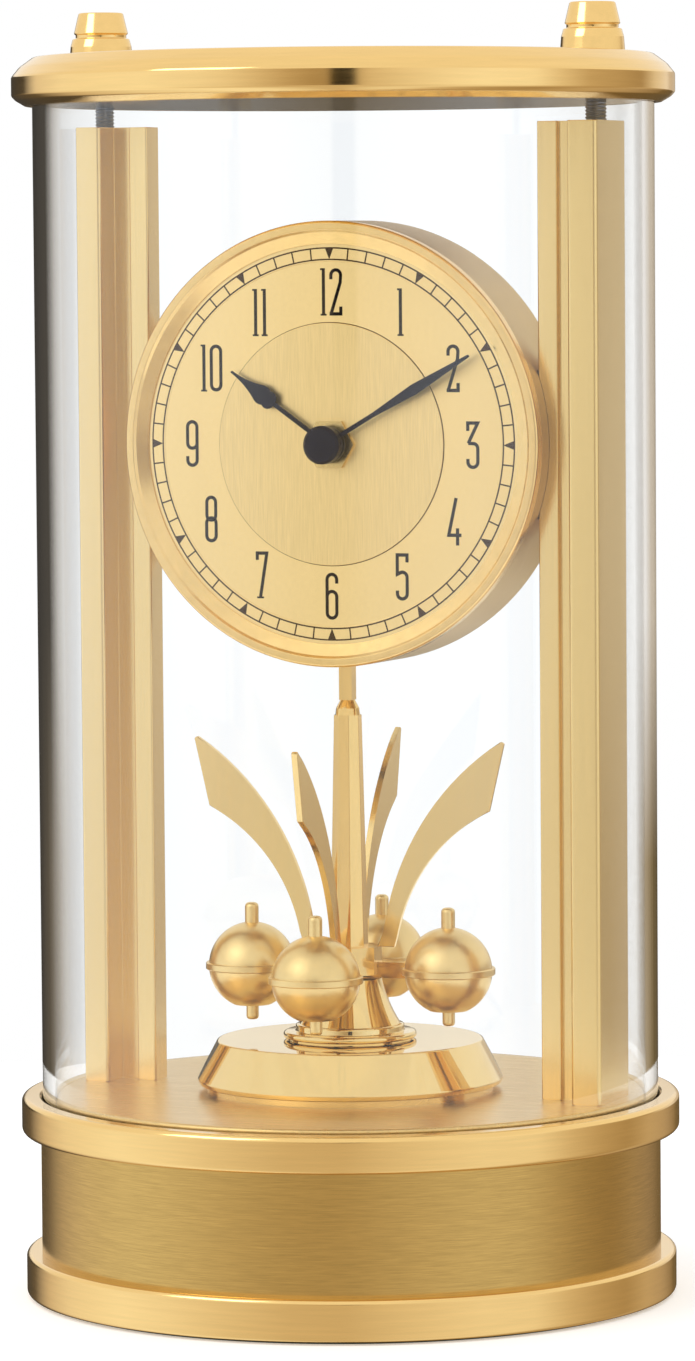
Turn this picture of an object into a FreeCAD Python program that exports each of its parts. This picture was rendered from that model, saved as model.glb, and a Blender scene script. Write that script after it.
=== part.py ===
import FreeCAD, Part

import math
import operator
import os

import Sketcher
from FreeCAD import Placement, Rotation, Vector

# Anniversary clock: a round base, a glass tube and a lid held together by two tie rods that run
# through two extruded columns. The columns carry a quartz clock head, and a four-ball pendulum
# hangs from the drive in the head and turns about the clock's own vertical axis.
#
# World frame, in millimetres: +Z is up, the dial faces -Y, the columns stand at +X and -X, and the
# origin is the middle of the felt underside that the clock stands on.

# ---------------------------------------------------------------- driving dimensions

DIMENSIONS = {
    # base, from the felt up
    "felt_radius": 73.0, "felt_thickness": 1.5, "felt_gap": 0.2,
    "foot_radius": 76.0, "foot_bottom": 0.6, "foot_top": 10.3, "foot_edge": 1.0,
    "ballast_radius": 66.0, "ballast_thickness": 6.0,
    "drum_radius": 72.4, "drum_wall": 1.5, "drum_top": 38.4,
    "ring_radius": 76.8, "ring_top": 46.9, "ring_edge": 1.2, "ring_seat_radius": 66.0,
    "ring_floor": 4.0, "groove_edge": 0.6,
    "platform_radius": 68.7, "platform_top": 47.6, "platform_edge": 0.8,
    # glass tube and lid
    "glass_radius": 71.9, "glass_wall": 2.8, "gasket": 1.0, "gasket_gap": 0.2,
    "groove_gap": 0.3,
    "lid_radius": 76.7, "lid_bottom": 276.6, "lid_band_bottom": 278.7, "lid_band_top": 283.2,
    "lid_top": 287.8, "lid_top_radius": 71.6, "lid_foot_radius": 73.6, "glass_in_lid": 3.2,
    "lid_band_edge": 0.4, "lid_band_edge_rise": 0.3, "lid_foot_bend": 14.0, "lid_shoulder_bend": 16.0,
    # tie rods, columns and finial nuts
    "rod_offset": 61.6, "rod_radius": 2.4, "rod_bottom": 3.0, "rod_top": 294.0,
    "rod_hole": 2.7, "nut_bottom": 3.4, "nut_radius": 4.6, "nut_height": 3.4,
    "nut_flange_radius": 5.4, "nut_flange": 1.0, "nut_pocket_gap": 0.4,
    "column_top": 272.0, "column_outer": 3.4, "column_bar": 6.8, "column_depth": 20.0,
    "column_length": 16.2, "column_tab": 4.8, "column_tab_depth": 6.6, "column_neck_depth": 4.0,
    "column_edge": 0.7, "column_tab_edge": 0.4,
    "finial_radius": 7.4, "finial_height": 11.1, "finial_bore": 2.46, "finial_bore_depth": 8.0,
    "finial_bore_cone": 1.2, "finial_foot": 0.8, "finial_skirt_radius": 6.6, "finial_skirt_foot": 1.6,
    "finial_skirt_top_radius": 6.3, "finial_skirt_top": 4.9, "finial_groove_radius": 5.8,
    "finial_groove_bottom": 5.2, "finial_groove_top": 5.5, "finial_cap_radius": 6.2,
    "finial_cap_bottom": 5.8, "finial_top_radius": 4.6, "finial_edge": 0.6,
    # clock head: "front" and "back" are distances from the clock's vertical axis
    "head_height": 198.3, "head_radius": 51.5, "head_wall": 1.6, "head_front": 11.0,
    "head_back": 12.0, "case_front": 8.0, "bezel_spigot": 2.0, "bezel_opening": 46.2,
    "bezel_bevel": 0.4, "bezel_bevel_drop": 0.5,
    "dial_radius": 47.6, "dial_front": 9.0, "dial_thickness": 1.0, "dial_centre_radius": 28.0,
    "dial_centre_thickness": 0.25, "dial_hole": 4.2,
    "bezel_rim": 1.6, "bezel_edge": 0.6, "bezel_bevel_bend": 14.0, "bezel_fit": 0.05,
    "dial_fit": 0.2, "tab_slot_reach": 17.0, "tab_slot_gap": 0.15, "rod_doorway": 3.6,
    "cover_thickness": 1.5, "cover_opening": 60.0, "cover_fit": 0.1,
    "bracket_thickness": 1.6, "bracket_half_depth": 5.8, "bracket_half_height": 7.5,
    "screw_radius": 1.25, "screw_length": 8.0, "screw_hole": 1.6, "screw_head_radius": 2.6,
    "screw_head": 1.8,
    "movement_width": 56.0, "movement_front": 7.9, "movement_back": 10.0, "movement_wall": 1.5,
    "bush_radius": 4.1, "bush_front": 10.5, "hour_pipe_radius": 2.6, "minute_pipe_radius": 1.7,
    "running_gap": 0.08,
    "hour_hand_at": 10.8, "minute_hand_at": 12.0, "hand_thickness": 0.5,
    "hour_hand_length": 29.5, "minute_hand_length": 41.2, "cap_radius": 4.45, "cap_front": 15.5,
    "cap_edge": 0.7, "pipe_end": 1.5, "hand_stem": 0.5, "hand_root": 1.0, "hand_tip_rise": 0.3,
    "hand_tip_bend": 0.4, "minute_boss": 3.4, "minute_stem_end": 14.0, "minute_blade": 1.25,
    "minute_blade_at": 25.5, "minute_tip": 0.3, "hour_boss": 3.8, "hour_stem_end": 16.2,
    "hour_stem_bend": 1.6, "hour_shoulder": 1.9, "hour_shoulder_at": 18.6, "hour_blade": 2.1,
    "hour_blade_at": 20.8, "hour_blade_bend": 2.6, "hour_flank_bend": 20.0, "hour_tip": 0.25,
    # pendulum
    "pendulum_angle": 4.0, "pendulum_rod": 3.15, "collar_bottom": 135.1, "collar_top": 138.6,
    "collar_radius": 2.9, "collar_shoulder_radius": 2.7, "collar_shoulder": 1.6,
    "collar_top_radius": 1.7,
    "post_top_width": 6.0, "post_width": 8.2, "hub_top": 81.1, "hub_bottom": 74.6,
    "hub_width": 14.0, "arm_height": 3.6, "arm_width": 3.6,
    "arm_inset": 0.6, "ball_arm": 24.2, "ball_height": 75.8, "ball_radius": 10.2, "ball_flat": 4.4,
    "band_radius": 10.9, "band_half": 0.85, "pin_radius": 1.6, "pin_top": 14.8,
    "lower_pin_radius": 1.45, "lower_pin_end": 12.8,
    "leaf_thickness": 1.4, "leaf_root_inner": 7.0, "leaf_root_outer": 11.2, "leaf_root_rise": 3.0,
    "leaf_inner": 8.6, "leaf_outer": 12.0, "leaf_cut_radius": 34.4, "leaf_cut_height": 113.2,
    "leaf_end_radius": 38.0, "leaf_end_height": 128.9, "leaf_tip_radius": 37.2,
    "leaf_tip_height": 129.4, "leaf_tip_bend": 0.9, "leaf_inner_bend": 64.0,
    "leaf_outer_bend": 41.0,
    "arbor_radius": 1.5, "arbor_pivot": 0.8, "arbor_shoulder": 9.0, "arbor_top": 13.6,
    "magnet_radius": 6.0, "magnet_bottom": 3.0, "magnet_top": 7.0,
    "drive_width": 28.0, "drive_depth": 16.0, "drive_wall": 1.5, "drive_drop": 45.0,
    "drive_top_drop": 29.0, "coil_radius": 2.4, "coil_height": 9.0, "coil_offset": 9.6,
    # pedestal under the pendulum
    "pedestal_radius": 35.8, "pedestal_top_radius": 31.0, "pedestal_top": 59.4,
    "pedestal_rim": 50.3, "pedestal_foot_radius": 33.5, "pedestal_rim_bottom": 49.2,
    "pedestal_edge": 0.3, "pedestal_top_edge": 0.4, "pedestal_top_bend": 0.6,
    "bead_radius": 15.1, "bead_foot": 14.3, "bead_neck": 14.4, "bead_bottom": 0.5, "bead_shoulder": 0.7,
    "bead_bend": 0.62, "bead_top": 1.9, "collet_radius": 12.5, "collet_foot": 13.2,
    "collet_bottom": 2.0, "collet_shoulder": 2.4, "collet_top": 63.0, "collet_neck": 11.8,
    "trumpet_bend": 30.0, "trumpet_top": 73.6, "trumpet_top_radius": 7.6,
    "guide_bore": 2.1, "guide_radius": 1.0, "guide_shank": 2.08, "guide_head_radius": 4.2,
    "guide_head": 3.2, "guide_shoulder": 0.6, "guide_reach": 3.4,
}

SIGNS = {"+": operator.add, "-": operator.sub, "*": operator.mul, "/": operator.truediv}


class Size:
    """A length that knows both its number and the sheet expression that it comes from."""

    def __init__(self, value, text):
        self.value = value
        self.text = text

    def __add__(self, other):
        return combine(self, "+", other)

    def __sub__(self, other):
        return combine(self, "-", other)

    def __mul__(self, other):
        return combine(self, "*", other)

    def __truediv__(self, other):
        return combine(self, "/", other)

    def __radd__(self, other):
        return combine(other, "+", self)

    def __rsub__(self, other):
        return combine(other, "-", self)

    def __rmul__(self, other):
        return combine(other, "*", self)

    def __neg__(self):
        return combine(0, "-", self)


def as_size(value):
    return value if isinstance(value, Size) else Size(float(value), repr(float(value)))


def combine(left, sign, right):
    left, right = as_size(left), as_size(right)
    return Size(SIGNS[sign](left.value, right.value), f"({left.text} {sign} {right.text})")


def make_sheet(doc):
    sheet = doc.addObject("Spreadsheet::Sheet", "dims")
    sizes = {}
    for row, (alias, value) in enumerate(DIMENSIONS.items(), start=1):
        sheet.set(f"A{row}", alias)
        sheet.set(f"B{row}", str(value))
        sheet.setAlias(f"B{row}", alias)
        sizes[alias] = Size(value, f"dims.{alias}")
    doc.recompute()
    return sizes


class Namespace:
    def __init__(self, entries):
        self.__dict__.update(entries)


doc = FreeCAD.newDocument("anniversary_clock")
D = Namespace(make_sheet(doc))
NODES = []

# ---------------------------------------------------------------- modelling helpers

UPRIGHT = Rotation()
# Turns a part that is drawn about +Z so that its axis points at the dial side, -Y: inside the clock
# head a part's own x is the clock's x, its y is height above the hand centre, and its z is forward.
FACING = Rotation(Vector(1, 0, 0), 90)


def bind(obj, **properties):
    """Ties each property to a sheet expression."""
    for name, size in properties.items():
        size = as_size(size)
        setattr(obj, name, size.value)
        obj.setExpression(name, size.text)


def place(obj, x=0, y=0, z=0, rotation=UPRIGHT):
    spot = [as_size(value) for value in (x, y, z)]
    obj.Placement = Placement(Vector(*[size.value for size in spot]), rotation)
    for name, size in zip("xyz", spot):
        obj.setExpression(f"Placement.Base.{name}", size.text)
    return obj


def keep(obj, label):
    """Makes an object one of the clock's own pieces."""
    obj.Label = label
    NODES.append(obj)
    return obj


def arc_middle(start, end, radius):
    """The point halfway along the shorter arc; a positive radius turns left on the way."""
    chord = end - start
    rise = abs(radius) - math.sqrt(radius ** 2 - (chord.Length / 2) ** 2)
    side = Vector(chord.y, -chord.x, 0).normalize() * math.copysign(1, radius)
    return (start + end) / 2 + side * rise


def draw(body, plane, outline, name="outline"):
    """A closed sketch through the outline's corners. A corner is (x, y), or (x, y, radius) where the
    edge that leaves it is an arc. Every corner and radius is tied to the sheet."""
    sketch = body.newObject("Sketcher::SketchObject", f"{body.Name}_{name}")
    base = [feature for feature in body.Origin.OriginFeatures if feature.Role == plane][0]
    sketch.AttachmentSupport = [(base, "")]
    sketch.MapMode = "FlatFace"
    corners = [tuple(as_size(value) for value in corner) for corner in outline]
    points = [Vector(corner[0].value, corner[1].value, 0) for corner in corners]
    starts, ends = [], []
    for index, corner in enumerate(corners):
        start, end = points[index], points[(index + 1) % len(points)]
        if len(corner) == 2:
            sketch.addGeometry(Part.LineSegment(start, end), False)
            starts.append(1)
            ends.append(2)
            continue
        radius = corner[2].value
        middle = arc_middle(start, end, radius)
        sketch.addGeometry(Part.Arc(start, middle, end), False)
        starts.append(1 if radius > 0 else 2)
        ends.append(2 if radius > 0 else 1)
    for index, corner in enumerate(corners):
        following = (index + 1) % len(corners)
        link = ("Coincident", index, ends[index], following, starts[following])
        sketch.addConstraint(Sketcher.Constraint(*link))
        for kind, axis, size in (("DistanceX", -2, corner[0]), ("DistanceY", -1, corner[1])):
            if size.value == 0:
                on_axis = Sketcher.Constraint("PointOnObject", index, starts[index], axis)
                sketch.addConstraint(on_axis)
                continue
            along = Sketcher.Constraint(kind, -1, 1, index, starts[index], size.value)
            number = sketch.addConstraint(along)
            if "dims." in size.text:
                sketch.setExpression(f"Constraints[{number}]", size.text)
        if len(corner) == 3:
            bend = Sketcher.Constraint("Radius", index, abs(corner[2].value))
            sketch.addConstraint(bend)
    return sketch


def turned(name, outline):
    """A body of revolution about its own Z, from a profile of (radius, height) corners."""
    body = doc.addObject("PartDesign::Body", name)
    sketch = draw(body, "XZ_Plane", outline, "profile")
    revolution = body.newObject("PartDesign::Revolution", f"{name}_turn")
    revolution.Profile = sketch
    revolution.ReferenceAxis = (sketch, ["V_Axis"])
    revolution.Angle = 360
    return body


def plate(name, outline, bottom, top):
    """A body padded from an outline in its own XY, between two heights."""
    body = doc.addObject("PartDesign::Body", name)
    sketch = draw(body, "XY_Plane", outline)
    bind_offset(sketch, bottom)
    pad = body.newObject("PartDesign::Pad", f"{name}_pad")
    pad.Profile = sketch
    bind(pad, Length=as_size(top) - bottom)
    return body


def bind_offset(sketch, height):
    height = as_size(height)
    sketch.AttachmentOffset = Placement(Vector(0, 0, height.value), Rotation())
    sketch.setExpression("AttachmentOffset.Base.z", height.text)


def tube_profile(inner, outer, bottom, top):
    return [(inner, bottom), (outer, bottom), (outer, top), (inner, top)]


def disc(radius, bottom, top, x=0, y=0):
    """A plain cylinder, for pins, shafts and the tools that bore holes."""
    cylinder = doc.addObject("Part::Cylinder", "disc")
    bind(cylinder, Radius=radius, Height=as_size(top) - bottom)
    return place(cylinder, x, y, bottom)


def block(x0, y0, z0, x1, y1, z1):
    box = doc.addObject("Part::Box", "block")
    bind(box, Length=as_size(x1) - x0, Width=as_size(y1) - y0, Height=as_size(z1) - z0)
    return place(box, x0, y0, z0)


def joined(name, pieces):
    fuse = doc.addObject("Part::MultiFuse", name)
    fuse.Shapes = pieces
    return fuse


def grouped(name, pieces):
    """Separate solids of one kind, kept together."""
    compound = doc.addObject("Part::Compound", name)
    compound.Links = pieces
    return compound


def cut_away(name, base, tools):
    cut = doc.addObject("Part::Cut", name)
    cut.Base = base
    cut.Tool = tools[0] if len(tools) == 1 else joined(f"{name}_tools", tools)
    return cut


def at_rods(make):
    """One of something at each tie rod."""
    return [make(side * D.rod_offset) for side in (as_size(1), as_size(-1))]


def rod_holes(bottom, top):
    return at_rods(lambda x: disc(D.rod_hole, bottom, top, x))

# ---------------------------------------------------------------- base


def make_base():
    keep(turned("felt_pad", [(0, 0), (D.felt_radius, 0), (D.felt_radius, D.felt_thickness),
                             (0, D.felt_thickness)]), "felt_pad")
    recess = D.felt_radius + D.felt_gap
    foot = turned("foot_disc_blank", [
        (0, D.felt_thickness), (recess, D.felt_thickness), (recess, D.foot_bottom),
        (D.foot_radius - D.foot_edge, D.foot_bottom, D.foot_edge),
        (D.foot_radius, D.foot_bottom + D.foot_edge),
        (D.foot_radius, D.foot_top - D.foot_edge, D.foot_edge),
        (D.foot_radius - D.foot_edge, D.foot_top), (0, D.foot_top)])
    nut_room = D.nut_bottom + D.nut_height + D.nut_flange
    pockets = at_rods(lambda x: disc(D.nut_flange_radius + D.nut_pocket_gap, 0, nut_room, x))
    keep(cut_away("foot_disc", foot, pockets + rod_holes(0, D.foot_top + 1)), "foot_disc")

    ballast_top = D.foot_top + D.ballast_thickness
    ballast = turned("ballast_blank", [(0, D.foot_top), (D.ballast_radius, D.foot_top),
                                       (D.ballast_radius, ballast_top), (0, ballast_top)])
    holes = rod_holes(D.foot_top - 1, ballast_top + 1)
    keep(cut_away("ballast_plate", ballast, holes), "ballast_plate")

    shell = tube_profile(D.drum_radius - D.drum_wall, D.drum_radius, D.foot_top, D.drum_top)
    keep(turned("base_drum", shell), "base_drum")

    floor_top = D.drum_top + D.ring_floor
    groove_radius = D.glass_radius + D.groove_gap
    keep(turned("base_ring", [
        (D.ring_seat_radius, D.drum_top),
        (D.ring_radius - D.ring_edge, D.drum_top, D.ring_edge),
        (D.ring_radius, D.drum_top + D.ring_edge),
        (D.ring_radius, D.ring_top - D.ring_edge, D.ring_edge),
        (D.ring_radius - D.ring_edge, D.ring_top),
        (groove_radius + D.groove_edge, D.ring_top), (groove_radius, D.ring_top - D.groove_edge),
        (groove_radius, floor_top), (D.ring_seat_radius, floor_top)]), "base_ring")

    platform = turned("platform_blank", [
        (0, floor_top), (D.platform_radius, floor_top),
        (D.platform_radius, D.platform_top - D.platform_edge),
        (D.platform_radius - D.platform_edge, D.platform_top), (0, D.platform_top)])
    holes = rod_holes(floor_top - 1, D.platform_top + 1)
    holes.append(disc(D.guide_bore, floor_top - 1, D.platform_top + 1))
    keep(cut_away("platform_disc", platform, holes), "platform_disc")

    inner = D.platform_radius + D.gasket_gap
    gasket = tube_profile(inner, D.glass_radius, floor_top, floor_top + D.gasket)
    keep(turned("glass_gasket_lower", gasket), "glass_gasket_lower")


# ---------------------------------------------------------------- glass tube and lid


def make_cover():
    inner = D.glass_radius - D.glass_wall
    bottom = D.drum_top + D.ring_floor + D.gasket
    top = D.lid_bottom + D.glass_in_lid
    keep(turned("glass_tube", tube_profile(inner, D.glass_radius, bottom, top)), "glass_tube")
    gasket = tube_profile(inner, D.glass_radius, top, top + D.gasket)
    keep(turned("glass_gasket_upper", gasket), "glass_gasket_upper")

    groove_top = top + D.gasket
    lid = turned("lid_blank", [
        (0, D.lid_bottom), (inner - D.groove_gap, D.lid_bottom),
        (inner - D.groove_gap, groove_top), (D.glass_radius + D.groove_gap, groove_top),
        (D.glass_radius + D.groove_gap, D.lid_bottom),
        (D.lid_foot_radius, D.lid_bottom, D.lid_foot_bend),
        (D.lid_radius - D.lid_band_edge, D.lid_band_bottom - D.lid_band_edge_rise),
        (D.lid_radius, D.lid_band_bottom), (D.lid_radius, D.lid_band_top),
        (D.lid_radius - D.lid_band_edge, D.lid_band_top + D.lid_band_edge_rise, D.lid_shoulder_bend),
        (D.lid_top_radius, D.lid_top), (0, D.lid_top)])
    holes = rod_holes(D.lid_bottom - 1, D.lid_top + 1)
    keep(cut_away("lid", lid, holes), "lid")

    for name, side in (("right", 1), ("left", -1)):
        finial = turned(f"finial_{name}", [
            (D.finial_bore, 0), (D.finial_radius, 0), (D.finial_radius, D.finial_foot),
            (D.finial_skirt_radius, D.finial_skirt_foot),
            (D.finial_skirt_top_radius, D.finial_skirt_top),
            (D.finial_groove_radius, D.finial_groove_bottom),
            (D.finial_groove_radius, D.finial_groove_top),
            (D.finial_cap_radius, D.finial_cap_bottom),
            (D.finial_top_radius + D.finial_edge, D.finial_height - D.finial_edge, D.finial_edge),
            (D.finial_top_radius, D.finial_height), (0, D.finial_height),
            (0, D.finial_bore_depth), (D.finial_bore, D.finial_bore_depth - D.finial_bore_cone)])
        keep(place(finial, side * D.rod_offset, 0, D.lid_top), f"finial_{name}")


# ---------------------------------------------------------------- tie rods and columns


def column_outline():
    """Plan of an extrusion, drawn about its tie rod with +X pointing away from the clock: a deep
    bar outside, a narrow neck, and a tab that faces the clock head."""
    outer = D.column_outer
    bar = outer - D.column_bar
    tip = outer - D.column_length
    tab = tip + D.column_tab
    half, edge = D.column_depth / 2, D.column_edge
    near = [(outer, -half + edge), (outer - edge, -half), (bar + edge, -half), (bar, -half + edge),
            (bar, -D.column_neck_depth / 2), (tab, -D.column_neck_depth / 2),
            (tab, -D.column_tab_depth / 2), (tip + D.column_tab_edge, -D.column_tab_depth / 2),
            (tip, -D.column_tab_depth / 2 + D.column_tab_edge)]
    return near + [(x, -y) for x, y in reversed(near)]


BRACKET_SCREW_HEIGHTS = (-4.0, 4.0)


def make_columns():
    tip = D.column_outer - D.column_length
    for name, side in (("right", 1), ("left", -1)):
        blank = plate(f"column_{name}_blank", column_outline(), D.platform_top, D.column_top)
        tools = [disc(D.rod_hole, D.platform_top - 1, D.column_top + 1)]
        for height in BRACKET_SCREW_HEIGHTS:
            tap = disc(D.screw_radius, 0, D.screw_length)
            place(tap, tip - 1, 0, D.head_height + height, Rotation(Vector(0, 1, 0), 90))
            tools.append(tap)
        column = cut_away(f"column_{name}", blank, tools)
        turn = Rotation(Vector(0, 0, 1), 0 if side > 0 else 180)
        keep(place(column, side * D.rod_offset, 0, 0, turn), f"column_{name}")

    rods = at_rods(lambda x: disc(D.rod_radius, D.rod_bottom, D.rod_top, x))
    keep(grouped("tie_rods", rods), "tie_rods")

    nut_bottom = D.nut_bottom
    nut_top = nut_bottom + D.nut_height

    def flanged_nut(x):
        hexagon = doc.addObject("Part::Prism", "hexagon")
        hexagon.Polygon = 6
        bind(hexagon, Circumradius=D.nut_radius, Height=D.nut_height)
        place(hexagon, x, 0, nut_bottom)
        flange = disc(D.nut_flange_radius, nut_top, nut_top + D.nut_flange, x)
        thread = disc(D.rod_radius, nut_bottom - 1, nut_top + D.nut_flange + 1, x)
        return cut_away("nut", joined("nut_stock", [hexagon, flange]), [thread])

    keep(grouped("rod_nuts", at_rods(flanged_nut)), "rod_nuts")


# ---------------------------------------------------------------- clock head


def face_forward(obj, x=0, y=0):
    """Puts a part of the clock head at (x, y) from the hand centre, with its own z forward."""
    return place(obj, x, 0, D.head_height + y, FACING)


BEYOND_CASE = 60.0


def make_head_case():
    inner = D.head_radius - D.head_wall
    back = -D.head_back
    shell = turned("head_case_blank", tube_profile(inner, D.head_radius, back, D.case_front))
    slot, reach = D.column_tab_depth / 2 + D.tab_slot_gap, D.tab_slot_reach
    slots = block(-BEYOND_CASE, -reach, -slot, BEYOND_CASE, reach, slot)
    doorway = disc(D.rod_doorway, 0, BEYOND_CASE)
    place(doorway, 0, 0, 0, Rotation(Vector(1, 0, 0), 90))
    keep(face_forward(cut_away("head_case", shell, [slots, doorway])), "head_case")

    spigot = D.case_front - D.bezel_spigot
    seat, fit = D.dial_radius + D.dial_fit, inner - D.bezel_fit
    bezel = turned("bezel", [
        (seat, spigot), (fit, spigot), (fit, D.case_front), (D.head_radius, D.case_front),
        (D.head_radius, D.head_front - D.bezel_edge, D.bezel_edge),
        (D.head_radius - D.bezel_edge, D.head_front), (D.head_radius - D.bezel_rim, D.head_front),
        (D.head_radius - D.bezel_rim - D.bezel_bevel, D.head_front - D.bezel_bevel_drop,
         D.bezel_bevel_bend),
        (D.bezel_opening, D.dial_front + D.bezel_bevel_drop),
        (D.bezel_opening, D.dial_front + D.bezel_fit),
        (seat, D.dial_front + D.bezel_fit)])
    keep(face_forward(bezel), "bezel")

    edge, front = inner - D.cover_fit, back + D.cover_thickness
    cover = turned("back_cover_blank", [(0, back), (edge, back), (edge, front), (0, front)])
    half = D.cover_opening / 2
    window = block(-half, -half, back - 1, half, half, back + 5)
    keep(face_forward(cut_away("back_cover", cover, [window])), "back_cover")

    dial_back = D.dial_front - D.dial_thickness
    dial = tube_profile(D.dial_hole, D.dial_radius, dial_back, D.dial_front)
    keep(face_forward(turned("dial_plate", dial)), "dial_plate")
    centre_front = D.dial_front + D.dial_centre_thickness
    centre = tube_profile(D.dial_hole, D.dial_centre_radius, D.dial_front, centre_front)
    keep(face_forward(turned("dial_centre", centre)), "dial_centre")

    # An angle plate bears on the tab of each column and carries the head on two screws.
    tip = D.rod_offset + D.column_outer - D.column_length
    plates, screws = [], []
    for side in (1, -1):
        turn = Rotation(Vector(0, 0, 1), 0 if side > 0 else 180)
        back, half, rise = tip - D.bracket_thickness, D.bracket_half_depth, D.bracket_half_height
        slab = block(back, -half, D.head_height - rise, tip, half, D.head_height + rise)
        holes = []
        for height in BRACKET_SCREW_HEIGHTS:
            across = Rotation(Vector(0, 1, 0), 90)
            hole = disc(D.screw_hole, 0, D.bracket_thickness + 2)
            holes.append(place(hole, back - 1, 0, D.head_height + height, across))
            head = disc(D.screw_head_radius, 0, D.screw_head)
            place(head, back - D.screw_head, 0, D.head_height + height, across)
            shank = disc(D.screw_radius, 0, D.screw_length)
            place(shank, tip - 2, 0, D.head_height + height, across)
            screws.append(place(joined("screw", [head, shank]), 0, 0, 0, turn))
        plates.append(place(cut_away("head_plate", slab, holes), 0, 0, 0, turn))
    keep(grouped("head_brackets", plates), "head_brackets")
    keep(grouped("bracket_screws", screws), "bracket_screws")


# ---------------------------------------------------------------- movement

# Spur gears stand at these points from the hand centre: each next axis is one centre distance
# away, at the angle given, in degrees from +x towards +y.
MOTION_MODULE = 0.4
CENTRE_MODULE = 0.25
TRAIN_MODULE = 0.2
MINUTE_WHEEL_ANGLE = 120.0
SETTING_ANGLE = 180.0
THIRD_ANGLE = 40.0
FOURTH_ANGLE = 0.0
FIFTH_ANGLE = -60.0
ROTOR_ANGLE = -100.0


class Gear:
    """One set of teeth: its place, count, module and the angle of its first tooth."""

    def __init__(self, x, y, teeth, module, phase=0.0):
        self.x, self.y = x, y
        self.teeth = teeth
        self.module = module
        self.phase = phase

    def pitch_radius(self):
        return self.teeth * self.module / 2

    def partner(self, teeth, angle):
        """A gear in mesh with this one, whose gap faces this gear's tooth on the centre line."""
        reach = self.pitch_radius() + teeth * self.module / 2
        x = self.x + reach * math.cos(math.radians(angle))
        y = self.y + reach * math.sin(math.radians(angle))
        turned_by = ((self.phase - angle) * self.teeth / 360) % 1
        phase = angle + 180 - turned_by * 360 / teeth + 180 / teeth
        return Gear(x, y, teeth, self.module, phase)

    def wheel(self, back, front):
        """The toothed disc, with straight-sided teeth cut narrow enough to run with backlash."""
        root = self.pitch_radius() - 1.1 * self.module
        tip = self.pitch_radius() + 0.75 * self.module
        pitch = 2 * math.pi / self.teeth
        corners = []
        for tooth in range(self.teeth):
            middle = math.radians(self.phase) + tooth * pitch
            for radius, half in ((root, -0.27), (tip, -0.10), (tip, 0.10), (root, 0.27)):
                angle = middle + half * pitch
                corners.append(Vector(radius * math.cos(angle), radius * math.sin(angle), back))
        face = Part.Face(Part.makePolygon(corners + corners[:1]))
        return face.extrude(Vector(0, 0, front - back))


CANNON = Gear(0, 0, 10, MOTION_MODULE)
MINUTE_WHEEL = CANNON.partner(30, MINUTE_WHEEL_ANGLE)
MINUTE_PINION = Gear(MINUTE_WHEEL.x, MINUTE_WHEEL.y, 8, MOTION_MODULE)
HOUR_WHEEL = MINUTE_PINION.partner(32, MINUTE_WHEEL_ANGLE - 180)
SETTING_PINION = MINUTE_WHEEL.partner(10, SETTING_ANGLE)
CENTRE_WHEEL = Gear(0, 0, 60, CENTRE_MODULE)
THIRD_PINION = CENTRE_WHEEL.partner(8, THIRD_ANGLE)
THIRD_WHEEL = Gear(THIRD_PINION.x, THIRD_PINION.y, 64, TRAIN_MODULE)
FOURTH_PINION = THIRD_WHEEL.partner(8, FOURTH_ANGLE)
FOURTH_WHEEL = Gear(FOURTH_PINION.x, FOURTH_PINION.y, 60, TRAIN_MODULE)
FIFTH_PINION = FOURTH_WHEEL.partner(10, FIFTH_ANGLE)
FIFTH_WHEEL = Gear(FIFTH_PINION.x, FIFTH_PINION.y, 50, TRAIN_MODULE)
ROTOR_PINION = FIFTH_WHEEL.partner(10, ROTOR_ANGLE)

PIVOT_DEPTH = 0.8
PIVOT_RADIUS = 0.4
STUD_RADIUS = 0.6
ARBOR_RADIUS = 1.0

# Where each set of teeth lies, back and front, from the middle of the clock.
CANNON_LEVEL = (2.2, 3.4)
CENTRE_WHEEL_LEVEL = (-1.0, -0.2)
HOUR_WHEEL_LEVEL = (4.0, 4.8)
MINUTE_WHEEL_LEVEL = (2.4, 3.2)
MINUTE_PINION_LEVEL = (3.2, 5.4)
THIRD_PINION_LEVEL = (-1.5, 0.3)
THIRD_WHEEL_LEVEL = (-2.6, -1.9)
FOURTH_PINION_LEVEL = (-3.0, -1.6)
FOURTH_WHEEL_LEVEL = (-4.2, -3.5)
FIFTH_PINION_LEVEL = (-4.5, -3.2)
FIFTH_WHEEL_LEVEL = (-5.6, -5.0)
ROTOR_PINION_LEVEL = (-5.9, -4.7)
ROTOR_MAGNET = (2.6, -7.7, -6.3)
KNOB = (4.2, -14.8, -10.6)
KNOB_SHAFT_BACK = -12.0


def shaft(radius, back, front):
    return Part.makeCylinder(radius, front - back, Vector(0, 0, back))


def gear_piece(label, gear, solids, bores=()):
    """A wheel and its arbor as one piece at the gear's place."""
    shape = solids[0].multiFuse(list(solids[1:])) if len(solids) > 1 else solids[0]
    for bore in bores:
        shape = shape.cut(bore)
    feature = doc.addObject("Part::Feature", label)
    feature.Shape = shape.removeSplitter()
    return keep(face_forward(feature, gear.x, gear.y), label)


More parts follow.
